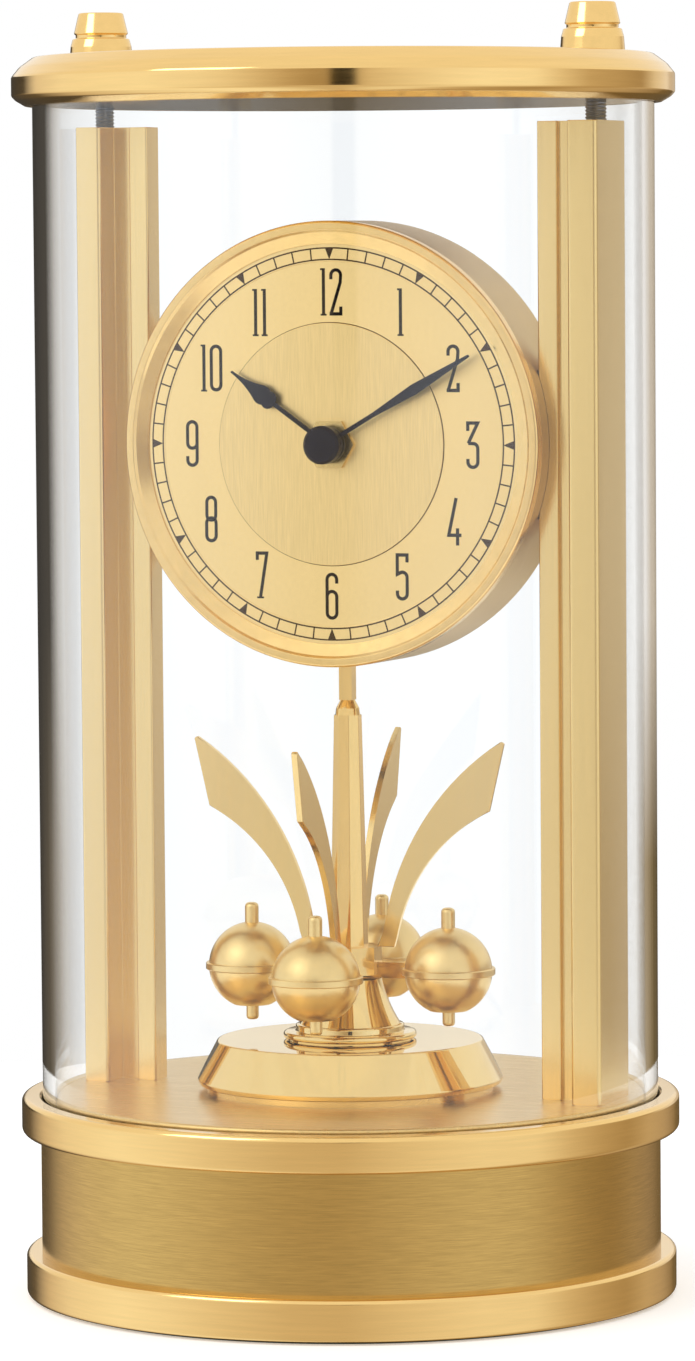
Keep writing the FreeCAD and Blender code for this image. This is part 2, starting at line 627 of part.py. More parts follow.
def make_gears():
    front_wall = D.movement_front.value - D.movement_wall.value
    back_wall = D.movement_wall.value - D.movement_back.value
    front_pivot = front_wall + PIVOT_DEPTH - 0.1
    back_pivot = back_wall - PIVOT_DEPTH + 0.1
    minute_pipe, hour_pipe = D.minute_pipe_radius.value, D.hour_pipe_radius.value
    gap = D.running_gap.value
    minute_seat = D.minute_hand_at.value + D.hand_thickness.value
    hour_seat = D.hour_hand_at.value + D.hand_thickness.value

    gear_piece("cannon_pinion", CANNON, [
        CANNON.wheel(*CANNON_LEVEL), CENTRE_WHEEL.wheel(*CENTRE_WHEEL_LEVEL),
        shaft(ARBOR_RADIUS, back_pivot, CANNON_LEVEL[0]),
        shaft(minute_pipe, CANNON_LEVEL[1], minute_seat + D.pipe_end.value)])
    gear_piece("hour_wheel", HOUR_WHEEL, [
        HOUR_WHEEL.wheel(*HOUR_WHEEL_LEVEL), shaft(hour_pipe, HOUR_WHEEL_LEVEL[0], hour_seat)],
        [shaft(minute_pipe + gap, HOUR_WHEEL_LEVEL[0] - 1, hour_seat + 1)])
    gear_piece("minute_wheel", MINUTE_WHEEL, [
        MINUTE_WHEEL.wheel(*MINUTE_WHEEL_LEVEL), MINUTE_PINION.wheel(*MINUTE_PINION_LEVEL)],
        [shaft(STUD_RADIUS + gap, MINUTE_WHEEL_LEVEL[0] - 1, MINUTE_PINION_LEVEL[1] + 1)])
    gear_piece("setting_knob", SETTING_PINION, [
        SETTING_PINION.wheel(*CANNON_LEVEL), shaft(*KNOB),
        shaft(ARBOR_RADIUS, KNOB_SHAFT_BACK, CANNON_LEVEL[0]),
        shaft(PIVOT_RADIUS, CANNON_LEVEL[1], front_pivot)])
    gear_piece("third_wheel", THIRD_PINION, [
        THIRD_PINION.wheel(*THIRD_PINION_LEVEL), THIRD_WHEEL.wheel(*THIRD_WHEEL_LEVEL),
        shaft(PIVOT_RADIUS, back_pivot, front_pivot)])
    gear_piece("fourth_wheel", FOURTH_PINION, [
        FOURTH_PINION.wheel(*FOURTH_PINION_LEVEL), FOURTH_WHEEL.wheel(*FOURTH_WHEEL_LEVEL),
        shaft(PIVOT_RADIUS, back_pivot, front_pivot)])
    gear_piece("fifth_wheel", FIFTH_PINION, [
        FIFTH_PINION.wheel(*FIFTH_PINION_LEVEL), FIFTH_WHEEL.wheel(*FIFTH_WHEEL_LEVEL),
        shaft(PIVOT_RADIUS, back_pivot, front_pivot)])
    gear_piece("rotor", ROTOR_PINION, [
        ROTOR_PINION.wheel(*ROTOR_PINION_LEVEL), shaft(*ROTOR_MAGNET),
        shaft(PIVOT_RADIUS, back_pivot, front_pivot)])


def rounded_square(half, corner):
    """Corners of a square with rounded edges, counter-clockwise."""
    return [(half - corner, -half, corner), (half, -half + corner), (half, half - corner, corner),
            (half - corner, half), (-half + corner, half, corner), (-half, half - corner),
            (-half, -half + corner, corner), (-half + corner, -half)]


BATTERY_DROP = 18.0
BATTERY_RADIUS = 7.1
BATTERY_DEPTH = -1.15
BATTERY_LENGTH = 49.0
NUB_RADIUS = 2.7
NUB_HEIGHT = 1.2
CONTACT_HALF = 4.0
CONTACT_GAP = 0.1
BOARD_CORNER = (-25.5, 4.0, -6.0)
BOARD_FAR_CORNER = (-16.5, 5.0, 20.0)
COIL_RADIUS = 2.2
COIL_LENGTH = 15.0
COIL_AT = (-8.0, 6.0, -6.5)
STATOR_RADII = (3.1, 3.9)
STATOR_HEIGHTS = (-7.5, -6.4)
DIAL_NUT_RADIUS = 6.2
DIAL_NUT_HEIGHT = 0.9
DIAL_NUT_GAP = 0.02


def make_movement():
    half, wall = D.movement_width / 2, D.movement_wall
    front_wall = D.movement_front - wall
    back_wall = wall - D.movement_back
    pivots = (THIRD_PINION, FOURTH_PINION, FIFTH_PINION, ROTOR_PINION)
    play = D.running_gap

    front = plate("movement_front_blank", rounded_square(half, as_size(3)), 0, D.movement_front)
    room = plate("movement_front_room", rounded_square(half - wall, as_size(2)), -1, front_wall)
    tools = [room, disc(D.hour_pipe_radius + play, front_wall - 1, D.bush_front + 1)]
    for gear in pivots + (SETTING_PINION,):
        top = front_wall + PIVOT_DEPTH
        tools.append(disc(PIVOT_RADIUS + play, front_wall - 1, top, gear.x, gear.y))
    hollow = cut_away("movement_front_shell", joined("movement_front_stock", [
        front, disc(D.bush_radius, front_wall, D.bush_front)]), tools)
    stud = disc(STUD_RADIUS, 2.0, front_wall + 0.5, MINUTE_WHEEL.x, MINUTE_WHEEL.y)
    movement_front = joined("movement_front", [hollow, stud])
    keep(face_forward(movement_front), "movement_front")

    back = plate("movement_back_blank", rounded_square(half, as_size(3)), -D.movement_back, 0)
    room = plate("movement_back_room", rounded_square(half - wall, as_size(2)), back_wall, 1)
    tools = [room]
    for gear in pivots + (CANNON,):
        radius = (ARBOR_RADIUS if gear is CANNON else PIVOT_RADIUS) + play
        tools.append(disc(radius, back_wall - PIVOT_DEPTH, back_wall + 1, gear.x, gear.y))
    through = disc(ARBOR_RADIUS + play, -D.movement_back - 1, 0, SETTING_PINION.x, SETTING_PINION.y)
    movement_back = cut_away("movement_back", back, tools + [through])
    keep(face_forward(movement_back), "movement_back")

    along = Rotation(Vector(0, 1, 0), 90)
    cell = disc(BATTERY_RADIUS, 0, BATTERY_LENGTH)
    place(cell, -BATTERY_LENGTH / 2, 0, 0, along)
    nub = disc(NUB_RADIUS, 0, NUB_HEIGHT)
    place(nub, BATTERY_LENGTH / 2, 0, 0, along)
    battery = joined("battery", [cell, nub])
    place(battery, 0, -BATTERY_DEPTH, D.head_height - BATTERY_DROP)
    keep(battery, "battery")
    contacts = []
    middle = D.head_height - BATTERY_DROP
    right_contact = (BATTERY_LENGTH / 2 + NUB_HEIGHT + CONTACT_GAP, half - wall)
    left_contact = (wall - half, -BATTERY_LENGTH / 2 - CONTACT_GAP)
    for left, right in (right_contact, left_contact):
        contacts.append(block(left, -CONTACT_HALF, middle - CONTACT_HALF,
                              right, CONTACT_HALF, middle + CONTACT_HALF))
    keep(grouped("battery_contacts", contacts), "battery_contacts")

    left, front_face, low = BOARD_CORNER
    right, back_face, high = BOARD_FAR_CORNER
    board = block(left, front_face, D.head_height + low, right, back_face, D.head_height + high)
    keep(board, "circuit_board")
    coil = disc(COIL_RADIUS, 0, COIL_LENGTH)
    place(coil, COIL_AT[0], COIL_AT[1], D.head_height + COIL_AT[2], along)
    keep(coil, "step_coil")
    ring = turned("stator", tube_profile(*STATOR_RADII, *STATOR_HEIGHTS))
    keep(face_forward(ring, ROTOR_PINION.x, ROTOR_PINION.y), "stator")

    nut = doc.addObject("Part::Prism", "dial_hexagon")
    nut.Polygon = 6
    bind(nut, Circumradius=DIAL_NUT_RADIUS, Height=DIAL_NUT_HEIGHT)
    nut_back = D.dial_front + D.dial_centre_thickness
    place(nut, 0, 0, nut_back)
    thread = disc(D.bush_radius + DIAL_NUT_GAP, nut_back - 1, nut_back + 2)
    dial_nut = cut_away("dial_nut", nut, [thread])
    keep(face_forward(dial_nut), "dial_nut")


# ---------------------------------------------------------------- hands

MINUTE_TURN = 60.0
HOUR_TURN = 305.0


def hand_plate(label, outline, hub_radius, bore, level, clockwise):
    """A hand drawn pointing at twelve, then turned clockwise as seen from the front."""
    top = level + D.hand_thickness
    blade = plate(f"{label}_blade", outline, level, top)
    boss = disc(hub_radius, level, top)
    hand = cut_away(label, joined(f"{label}_stock", [blade, boss]), [disc(bore, level - 1, top + 1)])
    place(hand, 0, 0, D.head_height, FACING * Rotation(Vector(0, 0, 1), -clockwise))
    keep(hand, label)


def make_hands():
    reach = D.minute_hand_length
    end = reach - D.hand_tip_rise
    right = [(D.hand_stem, D.hand_root), (D.hand_stem, D.minute_stem_end),
             (D.minute_blade, D.minute_blade_at), (D.minute_tip, end, D.hand_tip_bend)]
    left = [(-D.minute_tip, end), (-D.minute_blade, D.minute_blade_at),
            (-D.hand_stem, D.minute_stem_end), (-D.hand_stem, D.hand_root)]
    hand_plate("minute_hand", right + left, D.minute_boss, D.minute_pipe_radius,
               D.minute_hand_at, MINUTE_TURN)

    reach = D.hour_hand_length
    end = reach - D.hand_tip_rise
    right = [(D.hand_stem, D.hand_root), (D.hand_stem, D.hour_stem_end, D.hour_stem_bend),
             (D.hour_shoulder, D.hour_shoulder_at, D.hour_blade_bend),
             (D.hour_blade, D.hour_blade_at, -D.hour_flank_bend), (D.hour_tip, end, D.hand_tip_bend)]
    left = [(-D.hour_tip, end, -D.hour_flank_bend),
            (-D.hour_blade, D.hour_blade_at, D.hour_blade_bend),
            (-D.hour_shoulder, D.hour_shoulder_at, D.hour_stem_bend),
            (-D.hand_stem, D.hour_stem_end), (-D.hand_stem, D.hand_root)]
    hand_plate("hour_hand", right + left, D.hour_boss, D.hour_pipe_radius,
               D.hour_hand_at, HOUR_TURN)

    back = D.minute_hand_at + D.hand_thickness
    cap = turned("hand_cap", [
        (D.minute_pipe_radius, back), (D.cap_radius, back),
        (D.cap_radius, D.cap_front - D.cap_edge, D.cap_edge),
        (D.cap_radius - D.cap_edge, D.cap_front), (0, D.cap_front), (0, back + D.pipe_end),
        (D.minute_pipe_radius, back + D.pipe_end)])
    keep(face_forward(cap), "hand_cap")


# ---------------------------------------------------------------- pendulum

ARM_NAMES = ("right", "back", "left", "front")


def swing(obj, quarter=0):
    """Turns a pendulum piece about the clock's axis to one of its four arms."""
    angle = D.pendulum_angle + 90.0 * quarter
    base = obj.Placement
    turn = Placement(Vector(), Rotation(Vector(0, 0, 1), angle.value))
    obj.Placement = turn.multiply(base)
    return obj


def tapered_post():
    octagons = []
    for width, height in ((D.post_width, D.hub_top), (D.post_top_width, D.collar_bottom)):
        octagon = doc.addObject("Part::RegularPolygon", "octagon")
        octagon.Polygon = 8
        bind(octagon, Circumradius=width / (2 * math.cos(math.radians(22.5))))
        place(octagon, 0, 0, height, Rotation(Vector(0, 0, 1), 22.5))
        octagons.append(octagon)
    loft = doc.addObject("Part::Loft", "pendulum_post")
    loft.Sections = octagons
    loft.Solid = True
    loft.Ruled = True
    return loft


ARBOR_DROP = 2.5


def make_pendulum():
    inner_drive = drive_floor()
    half = D.pendulum_rod / 2
    arbor_bottom = inner_drive - ARBOR_DROP
    square = block(-half, -half, D.collar_top, half, half, arbor_bottom)
    keep(swing(grouped("pendulum_rod", [square])), "pendulum_rod")
    arbor = joined("pendulum_arbor_stock", [
        disc(D.arbor_radius, arbor_bottom, inner_drive + D.arbor_shoulder),
        disc(D.arbor_pivot, inner_drive + D.arbor_shoulder, inner_drive + D.arbor_top)])
    keep(arbor, "pendulum_arbor")
    magnet = tube_profile(D.arbor_radius, D.magnet_radius,
                          inner_drive + D.magnet_bottom, inner_drive + D.magnet_top)
    keep(turned("drive_magnet", magnet), "drive_magnet")
    collar = turned("pendulum_collar", [
        (0, D.collar_bottom), (D.collar_radius, D.collar_bottom),
        (D.collar_shoulder_radius, D.collar_bottom + D.collar_shoulder),
        (D.collar_top_radius, D.collar_top), (0, D.collar_top)])
    keep(collar, "pendulum_collar")
    keep(swing(tapered_post()), "pendulum_post")

    half = D.hub_width / 2
    trim = D.hub_width / 5
    core = plate("hub_core", [(half, -trim), (half, trim), (trim, half), (-trim, half),
                              (-half, trim), (-half, -trim), (-trim, -half), (trim, -half)],
                 D.hub_bottom, D.hub_top)
    low = D.ball_height - D.arm_height / 2
    high = D.ball_height + D.arm_height / 2
    reach = D.ball_arm - D.ball_radius + D.arm_inset
    side = D.arm_width / 2
    bars = [block(-reach, -side, low, reach, side, high), block(-side, -reach, low, side, reach, high)]
    bearing = disc(D.guide_radius + D.running_gap, D.hub_bottom - 1, D.hub_bottom + 4)
    hub = cut_away("pendulum_hub", joined("hub_stock", [core] + bars), [bearing])
    keep(swing(hub), "pendulum_hub")

    bands, pins, leaves = [], [], []
    for quarter, name in enumerate(ARM_NAMES):
        keep(swing(make_ball(name), quarter), f"ball_{name}")
        bands.append(swing(make_band(name), quarter))
        pins.append(swing(grouped(f"pins_{name}", make_pins(name)), quarter))
        leaves.append(swing(make_leaf(name), quarter))
    keep(grouped("ball_bands", bands), "ball_bands")
    keep(grouped("ball_pins", pins), "ball_pins")
    keep(grouped("pendulum_leaves", leaves), "pendulum_leaves")


def arm_room():
    """The end of a hub arm, which is let into its ball and the ball's band."""
    side, rise = D.arm_width / 2, D.arm_height / 2
    reach = D.ball_arm - D.ball_radius + D.arm_inset
    return block(0, -side, D.ball_height - rise, reach, side, D.ball_height + rise)


def flat_height(flat):
    """How far from the ball's middle a flat of this radius lies."""
    return math.sqrt(D.ball_radius.value ** 2 - flat.value ** 2)


def make_ball(name):
    """A ball with a domed upper half and a bowl below that ends in a small flat."""
    radius = D.ball_radius
    deep, crown = flat_height(D.ball_flat), flat_height(D.pin_radius)
    ball = turned(f"ball_{name}_stock", [
        (0, -deep), (D.ball_flat, -deep, radius), (radius, 0, radius), (D.pin_radius, crown),
        (0, crown)])
    place(ball, D.ball_arm, 0, D.ball_height)
    return cut_away(f"ball_{name}", ball, [arm_room()])


def make_band(name):
    """The flat ring round a ball's middle."""
    edge = 0.2
    inner, outer, half = D.ball_radius, D.band_radius, D.band_half
    ring = turned(f"ball_band_{name}_stock", [
        (inner, -half), (outer - edge, -half), (outer, edge - half), (outer, half - edge),
        (outer - edge, half), (inner, half)])
    place(ring, D.ball_arm, 0, D.ball_height)
    return cut_away(f"ball_band_{name}", ring, [arm_room()])


def make_pins(name):
    """The round-ended pins that stand above and below a ball."""
    top, end = D.pin_top, D.lower_pin_end
    deep, seat = flat_height(D.ball_flat), flat_height(D.pin_radius)
    round_top, round_end = 1.0, 0.8
    upper = turned(f"upper_pin_{name}", [
        (0, seat), (D.pin_radius, seat), (D.pin_radius, top - round_top, round_top),
        (D.pin_radius - round_top, top), (0, top)])
    lower = turned(f"lower_pin_{name}", [
        (0, -end), (D.lower_pin_radius - round_end, -end, round_end),
        (D.lower_pin_radius, round_end - end), (D.lower_pin_radius, -deep), (0, -deep)])
    return [place(pin, D.ball_arm, 0, D.ball_height) for pin in (upper, lower)]


def make_leaf(name):
    """A flat petal in a radial plane, curving outwards, with its end cut off almost upright."""
    waist = D.hub_top + D.leaf_root_rise
    outline = [(D.leaf_root_inner, D.hub_top), (D.leaf_root_outer, D.hub_top),
               (D.leaf_outer, waist, -D.leaf_outer_bend), (D.leaf_cut_radius, D.leaf_cut_height),
               (D.leaf_end_radius, D.leaf_end_height, D.leaf_tip_bend),
               (D.leaf_tip_radius, D.leaf_tip_height, D.leaf_inner_bend), (D.leaf_inner, waist)]
    body = doc.addObject("PartDesign::Body", f"leaf_{name}")
    sketch = draw(body, "XZ_Plane", outline)
    pad = body.newObject("PartDesign::Pad", f"leaf_{name}_pad")
    pad.Profile = sketch
    pad.Midplane = True
    bind(pad, Length=D.leaf_thickness)
    return body


def drive_floor():
    """Height of the inside of the drive case, which the pendulum's arbor passes up through."""
    return D.head_height - D.drive_drop + D.drive_wall


def make_drive():
    wall = D.drive_wall
    bottom, top = drive_floor() - wall, D.head_height - D.drive_top_drop
    across, deep = D.drive_width / 2, D.drive_depth / 2
    stock = block(-across, -deep, bottom, across, deep, top)
    room = block(wall - across, wall - deep, bottom + wall, across - wall, deep - wall, top - wall)
    door = disc(D.arbor_radius + D.running_gap, bottom - 1, bottom + 3)
    bearing = disc(D.arbor_pivot + D.running_gap, top - wall - 1, top - wall + 0.9)
    keep(cut_away("drive_case", stock, [room, door, bearing]), "drive_case")
    floor = drive_floor()
    coils = [disc(D.coil_radius, floor, floor + D.coil_height, x)
             for x in (-D.coil_offset, D.coil_offset)]
    keep(grouped("drive_coils", coils), "drive_coils")


# ---------------------------------------------------------------- pedestal


def make_pedestal():
    keep(turned("pedestal_disc", [
        (D.guide_bore, D.platform_top), (D.pedestal_foot_radius, D.platform_top),
        (D.pedestal_foot_radius, D.pedestal_rim_bottom),
        (D.pedestal_radius - D.pedestal_edge, D.pedestal_rim_bottom),
        (D.pedestal_radius, D.pedestal_rim),
        (D.pedestal_top_radius, D.pedestal_top - D.pedestal_edge, D.pedestal_top_bend),
        (D.pedestal_top_radius - D.pedestal_top_edge, D.pedestal_top),
        (D.guide_bore, D.pedestal_top)]), "pedestal_disc")
    base = D.pedestal_top
    keep(turned("pedestal_trumpet", [
        (D.guide_bore, base), (D.bead_foot, base), (D.bead_neck, base + D.bead_bottom),
        (D.bead_radius, base + D.bead_shoulder, D.bead_bend), (D.bead_radius, base + D.bead_top),
        (D.collet_foot, base + D.collet_bottom),
        (D.collet_radius, base + D.collet_shoulder, D.bead_bend), (D.collet_radius, D.collet_top),
        (D.collet_neck, D.collet_top, -D.trumpet_bend), (D.trumpet_top_radius, D.trumpet_top),
        (D.guide_bore, D.trumpet_top)]), "pedestal_trumpet")
    under = D.drum_top + D.ring_floor
    shoulder, end = D.trumpet_top - D.guide_shoulder, D.hub_bottom + D.guide_reach
    bolt = turned("guide_pin", [
        (0, under - D.guide_head), (D.guide_head_radius, under - D.guide_head),
        (D.guide_head_radius, under), (D.guide_shank, under), (D.guide_shank, shoulder),
        (D.guide_radius, shoulder), (D.guide_radius, end), (0, end)])
    keep(bolt, "guide_pin")


# ---------------------------------------------------------------- build, test and write


def failed(obj):
    return any(word in ("Invalid", "Error") for word in obj.State)


make_base()
make_cover()
make_columns()
make_head_case()
make_gears()
make_movement()
make_hands()
make_pendulum()
make_drive()
make_pedestal()
doc.recompute()

broken = [obj.Name for obj in doc.Objects if failed(obj)]
if broken:
    raise RuntimeError(f"features that failed: {broken}")
for piece in NODES:
    if piece.Shape.isNull() or not piece.Shape.isValid():
        raise RuntimeError(f"no valid shape: {piece.Label}")

os.makedirs("parts", exist_ok=True)
for piece in NODES:
    piece.Shape.exportStep(f"parts/{piece.Label}.step")
    box = piece.Shape.optimalBoundingBox()
    print(f"{piece.Label:22s} solids {len(piece.Shape.Solids)} volume {piece.Shape.Volume:10.2f} "
          f"z {box.ZMin:7.2f} {box.ZMax:7.2f} x {box.XMin:7.2f} {box.XMax:7.2f}")
print(len(NODES), "pieces")
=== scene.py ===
"""The looks of the anniversary clock: fine meshes, finishes, dial print, studio and camera."""

import math

import bmesh
import bpy
from mathutils import Matrix, Vector


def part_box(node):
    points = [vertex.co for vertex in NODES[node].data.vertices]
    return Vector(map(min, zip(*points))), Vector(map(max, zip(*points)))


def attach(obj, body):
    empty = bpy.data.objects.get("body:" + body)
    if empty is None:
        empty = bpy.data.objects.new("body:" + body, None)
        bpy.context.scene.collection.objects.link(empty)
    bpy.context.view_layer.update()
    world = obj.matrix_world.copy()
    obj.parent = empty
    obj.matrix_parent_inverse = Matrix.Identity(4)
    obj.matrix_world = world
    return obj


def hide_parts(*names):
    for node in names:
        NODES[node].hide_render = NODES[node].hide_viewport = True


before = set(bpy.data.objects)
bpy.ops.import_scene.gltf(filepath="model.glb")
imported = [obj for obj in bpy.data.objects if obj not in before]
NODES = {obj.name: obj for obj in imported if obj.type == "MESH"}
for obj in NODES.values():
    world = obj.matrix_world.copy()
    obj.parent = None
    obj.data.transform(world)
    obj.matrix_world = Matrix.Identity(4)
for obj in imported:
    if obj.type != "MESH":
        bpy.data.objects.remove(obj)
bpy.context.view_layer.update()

# Outlines below are drawn in millimetres and scaled as each mesh is made. Round parts are drawn as
# (radius, height) and clock-head parts as (x, height above the hands), with their own z forward.
MM = 0.001
ROUND_SEGMENTS = 288
GLASS_SEGMENTS = 480
ROUNDING_STEP = math.radians(15)
SHARP_ANGLE = math.radians(32)
HOLE_SEGMENTS = 48
FINIAL_SEGMENTS = 160
CAP_SEGMENTS = 96
EDGE_SEGMENTS = 3
PENDULUM_ANGLE = math.radians(4)


class Extent:
    """A CAD node's box at rest, in millimetres."""

    def __init__(self, node):
        low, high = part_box(node)
        self.left, self.front, self.bottom = low / MM
        self.right, self.back, self.top = high / MM


# ---------------------------------------------------------------- mesh code


def rounded(corners, closed=True):
    """Points along an outline. A corner (x, y, radius) is rounded off, and (x, y) stays sharp."""
    points = []
    count = len(corners)
    for index, corner in enumerate(corners):
        here = Vector(corner[:2])
        at_end = not closed and index in (0, count - 1)
        if len(corner) == 2 or at_end:
            points.append(here)
            continue
        to_before = Vector(corners[index - 1][:2]) - here
        to_after = Vector(corners[(index + 1) % count][:2]) - here
        room = 0.49 * min(to_before.length, to_after.length)
        to_before.normalize()
        to_after.normalize()
        half = to_before.angle(to_after) / 2
        reach = min(corner[2] / math.tan(half), room)
        radius = reach * math.tan(half)
        centre = here + (to_before + to_after).normalized() * radius / math.sin(half)
        spoke = here + to_before * reach - centre
        sweep = math.pi - 2 * half
        side = 1 if to_after.cross(to_before) > 0 else -1
        steps = max(2, math.ceil(sweep / ROUNDING_STEP))
        for step in range(steps + 1):
            turn = Matrix.Rotation(side * sweep * step / steps, 2)
            points.append(centre + turn @ spoke)
    return points


def arc(centre, radius, start, end, steps=12):
    """Points along a circle, from one angle to another, in degrees."""
    angles = [math.radians(start + (end - start) * step / steps) for step in range(steps + 1)]
    return [(centre[0] + radius * math.cos(a), centre[1] + radius * math.sin(a)) for a in angles]


def whole_circle(centre, radius, sides):
    """Points once round a circle, without repeating the first."""
    return arc(centre, radius, 0, 360 - 360 / sides, sides - 1)


def shade_smooth(mesh):
    mesh.polygons.foreach_set("use_smooth", [True] * len(mesh.polygons))
    mesh.set_sharp_from_angle(angle=SHARP_ANGLE)


def finish_mesh(name, bm, place=Matrix.Identity(4)):
    """An object from a mesh in millimetres, shaded smooth except at its sharp edges."""
    bmesh.ops.recalc_face_normals(bm, faces=bm.faces)
    bm.transform(Matrix.Scale(MM, 4) @ place)
    mesh = bpy.data.meshes.new(name)
    bm.to_mesh(mesh)
    bm.free()
    shade_smooth(mesh)
    piece = bpy.data.objects.new(name, mesh)
    bpy.context.scene.collection.objects.link(piece)
    return piece


def lathe(name, corners, place=Matrix.Identity(4), segments=ROUND_SEGMENTS):
    """A turned solid from a closed profile of (radius, height) corners."""
    profile = rounded(corners)
    bm = bmesh.new()
    rings = []
    for radius, height in profile:
        if radius < 1e-6:
            rings.append([bm.verts.new((0, 0, height))] * segments)
            continue
        angles = [2 * math.pi * step / segments for step in range(segments)]
        rings.append([bm.verts.new((radius * math.cos(a), radius * math.sin(a), height))
                      for a in angles])
    for index, ring in enumerate(rings):
        following = rings[(index + 1) % len(rings)]
        for step in range(segments):
            ahead = (step + 1) % segments
            corner = [ring[step], ring[ahead], following[ahead], following[step]]
            face = list(dict.fromkeys(corner))
            if len(face) > 2:
                bm.faces.new(face)
    return finish_mesh(name, bm, place)


def add_plate(bm, points, bottom, top):
    """Adds an outline's solid, standing between two heights, and returns its level edges."""
    low = [bm.verts.new((x, y, bottom)) for x, y in points]
    high = [bm.verts.new((x, y, top)) for x, y in points]
    bm.faces.new(low[::-1])
    bm.faces.new(high)
    rims = []
    for index in range(len(points)):
        ahead = (index + 1) % len(points)
        bm.faces.new((low[index], low[ahead], high[ahead], high[index]))
        rims += [bm.edges.get((low[index], low[ahead])), bm.edges.get((high[index], high[ahead]))]
    return rims


def soften(bm, rims, width):
    """Rounds over these edges."""
    bmesh.ops.bevel(bm, geom=rims, offset=width, segments=EDGE_SEGMENTS, profile=0.5, affect="EDGES")


def plate(name, corners, bottom, top, edge=0.0, place=Matrix.Identity(4)):
    """A flat piece with this outline, whose top and bottom edges are rounded over."""
    bm = bmesh.new()
    rims = add_plate(bm, rounded(corners), bottom, top)
    if edge:
        soften(bm, rims, edge)
    return finish_mesh(name, bm, place)


def add_stroke(bm, path, width, bottom, top, closed=False):
    """Adds a band of even width along a path, mitred at its corners."""
    count = len(path)
    path = [Vector(point) for point in path]
    left, right = [], []
    for index, here in enumerate(path):
        before = path[index - 1] if closed or index else None
        after = path[(index + 1) % count] if closed or index < count - 1 else None
        arriving = (here - before).normalized() if before is not None else None
        leaving = (after - here).normalized() if after is not None else None
        arriving, leaving = arriving or leaving, leaving or arriving
        across = Vector((-(arriving.y + leaving.y), arriving.x + leaving.x)).normalized()
        reach = width / 2 / max(0.5, across.dot(Vector((-leaving.y, leaving.x))))
        left.append(here + across * reach)
        right.append(here - across * reach)
    if not closed:
        add_plate(bm, right + left[::-1], bottom, top)
        return
    rows = [[bm.verts.new((x, y, z)) for x, y in side]
            for side, z in ((right, bottom), (right, top), (left, top), (left, bottom))]
    for index in range(count):
        ahead = (index + 1) % count
        for row, following in zip(rows, rows[1:] + rows[:1]):
            bm.faces.new((row[index], row[ahead], following[ahead], following[index]))


def cut_holes(piece, spots, radius, bottom, top):
    """Bores upright holes through a piece, at these (x, y) places."""
    for x, y in spots:
        bm = bmesh.new()
        add_plate(bm, whole_circle((x, y), radius, HOLE_SEGMENTS), bottom, top)
        cutter = finish_mesh("cutter", bm)
        hole = piece.modifiers.new("hole", "BOOLEAN")
        hole.object = cutter
        hole.solver = "EXACT"
        bpy.context.view_layer.objects.active = piece
        bpy.ops.object.modifier_apply(modifier=hole.name)
        bpy.data.objects.remove(cutter)
    shade_smooth(piece.data)


def weigh_normals(piece):
    """Keeps long faces flat in shading where they meet small roundings."""
    weighting = piece.modifiers.new("normals", "WEIGHTED_NORMAL")
    weighting.keep_sharp = True
    weighting.weight = 100
    bpy.context.view_layer.objects.active = piece
    bpy.ops.object.modifier_apply(modifier=weighting.name)


def show(piece, body, material, slot, *nodes):
    """Gives a piece its finish and body, and lets it stand for CAD nodes."""
    weigh_normals(piece)
    piece.data.materials.clear()
    piece.data.materials.append(material)
    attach(piece, body)
    if nodes:
        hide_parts(*nodes)
    return piece


# ---------------------------------------------------------------- finishes


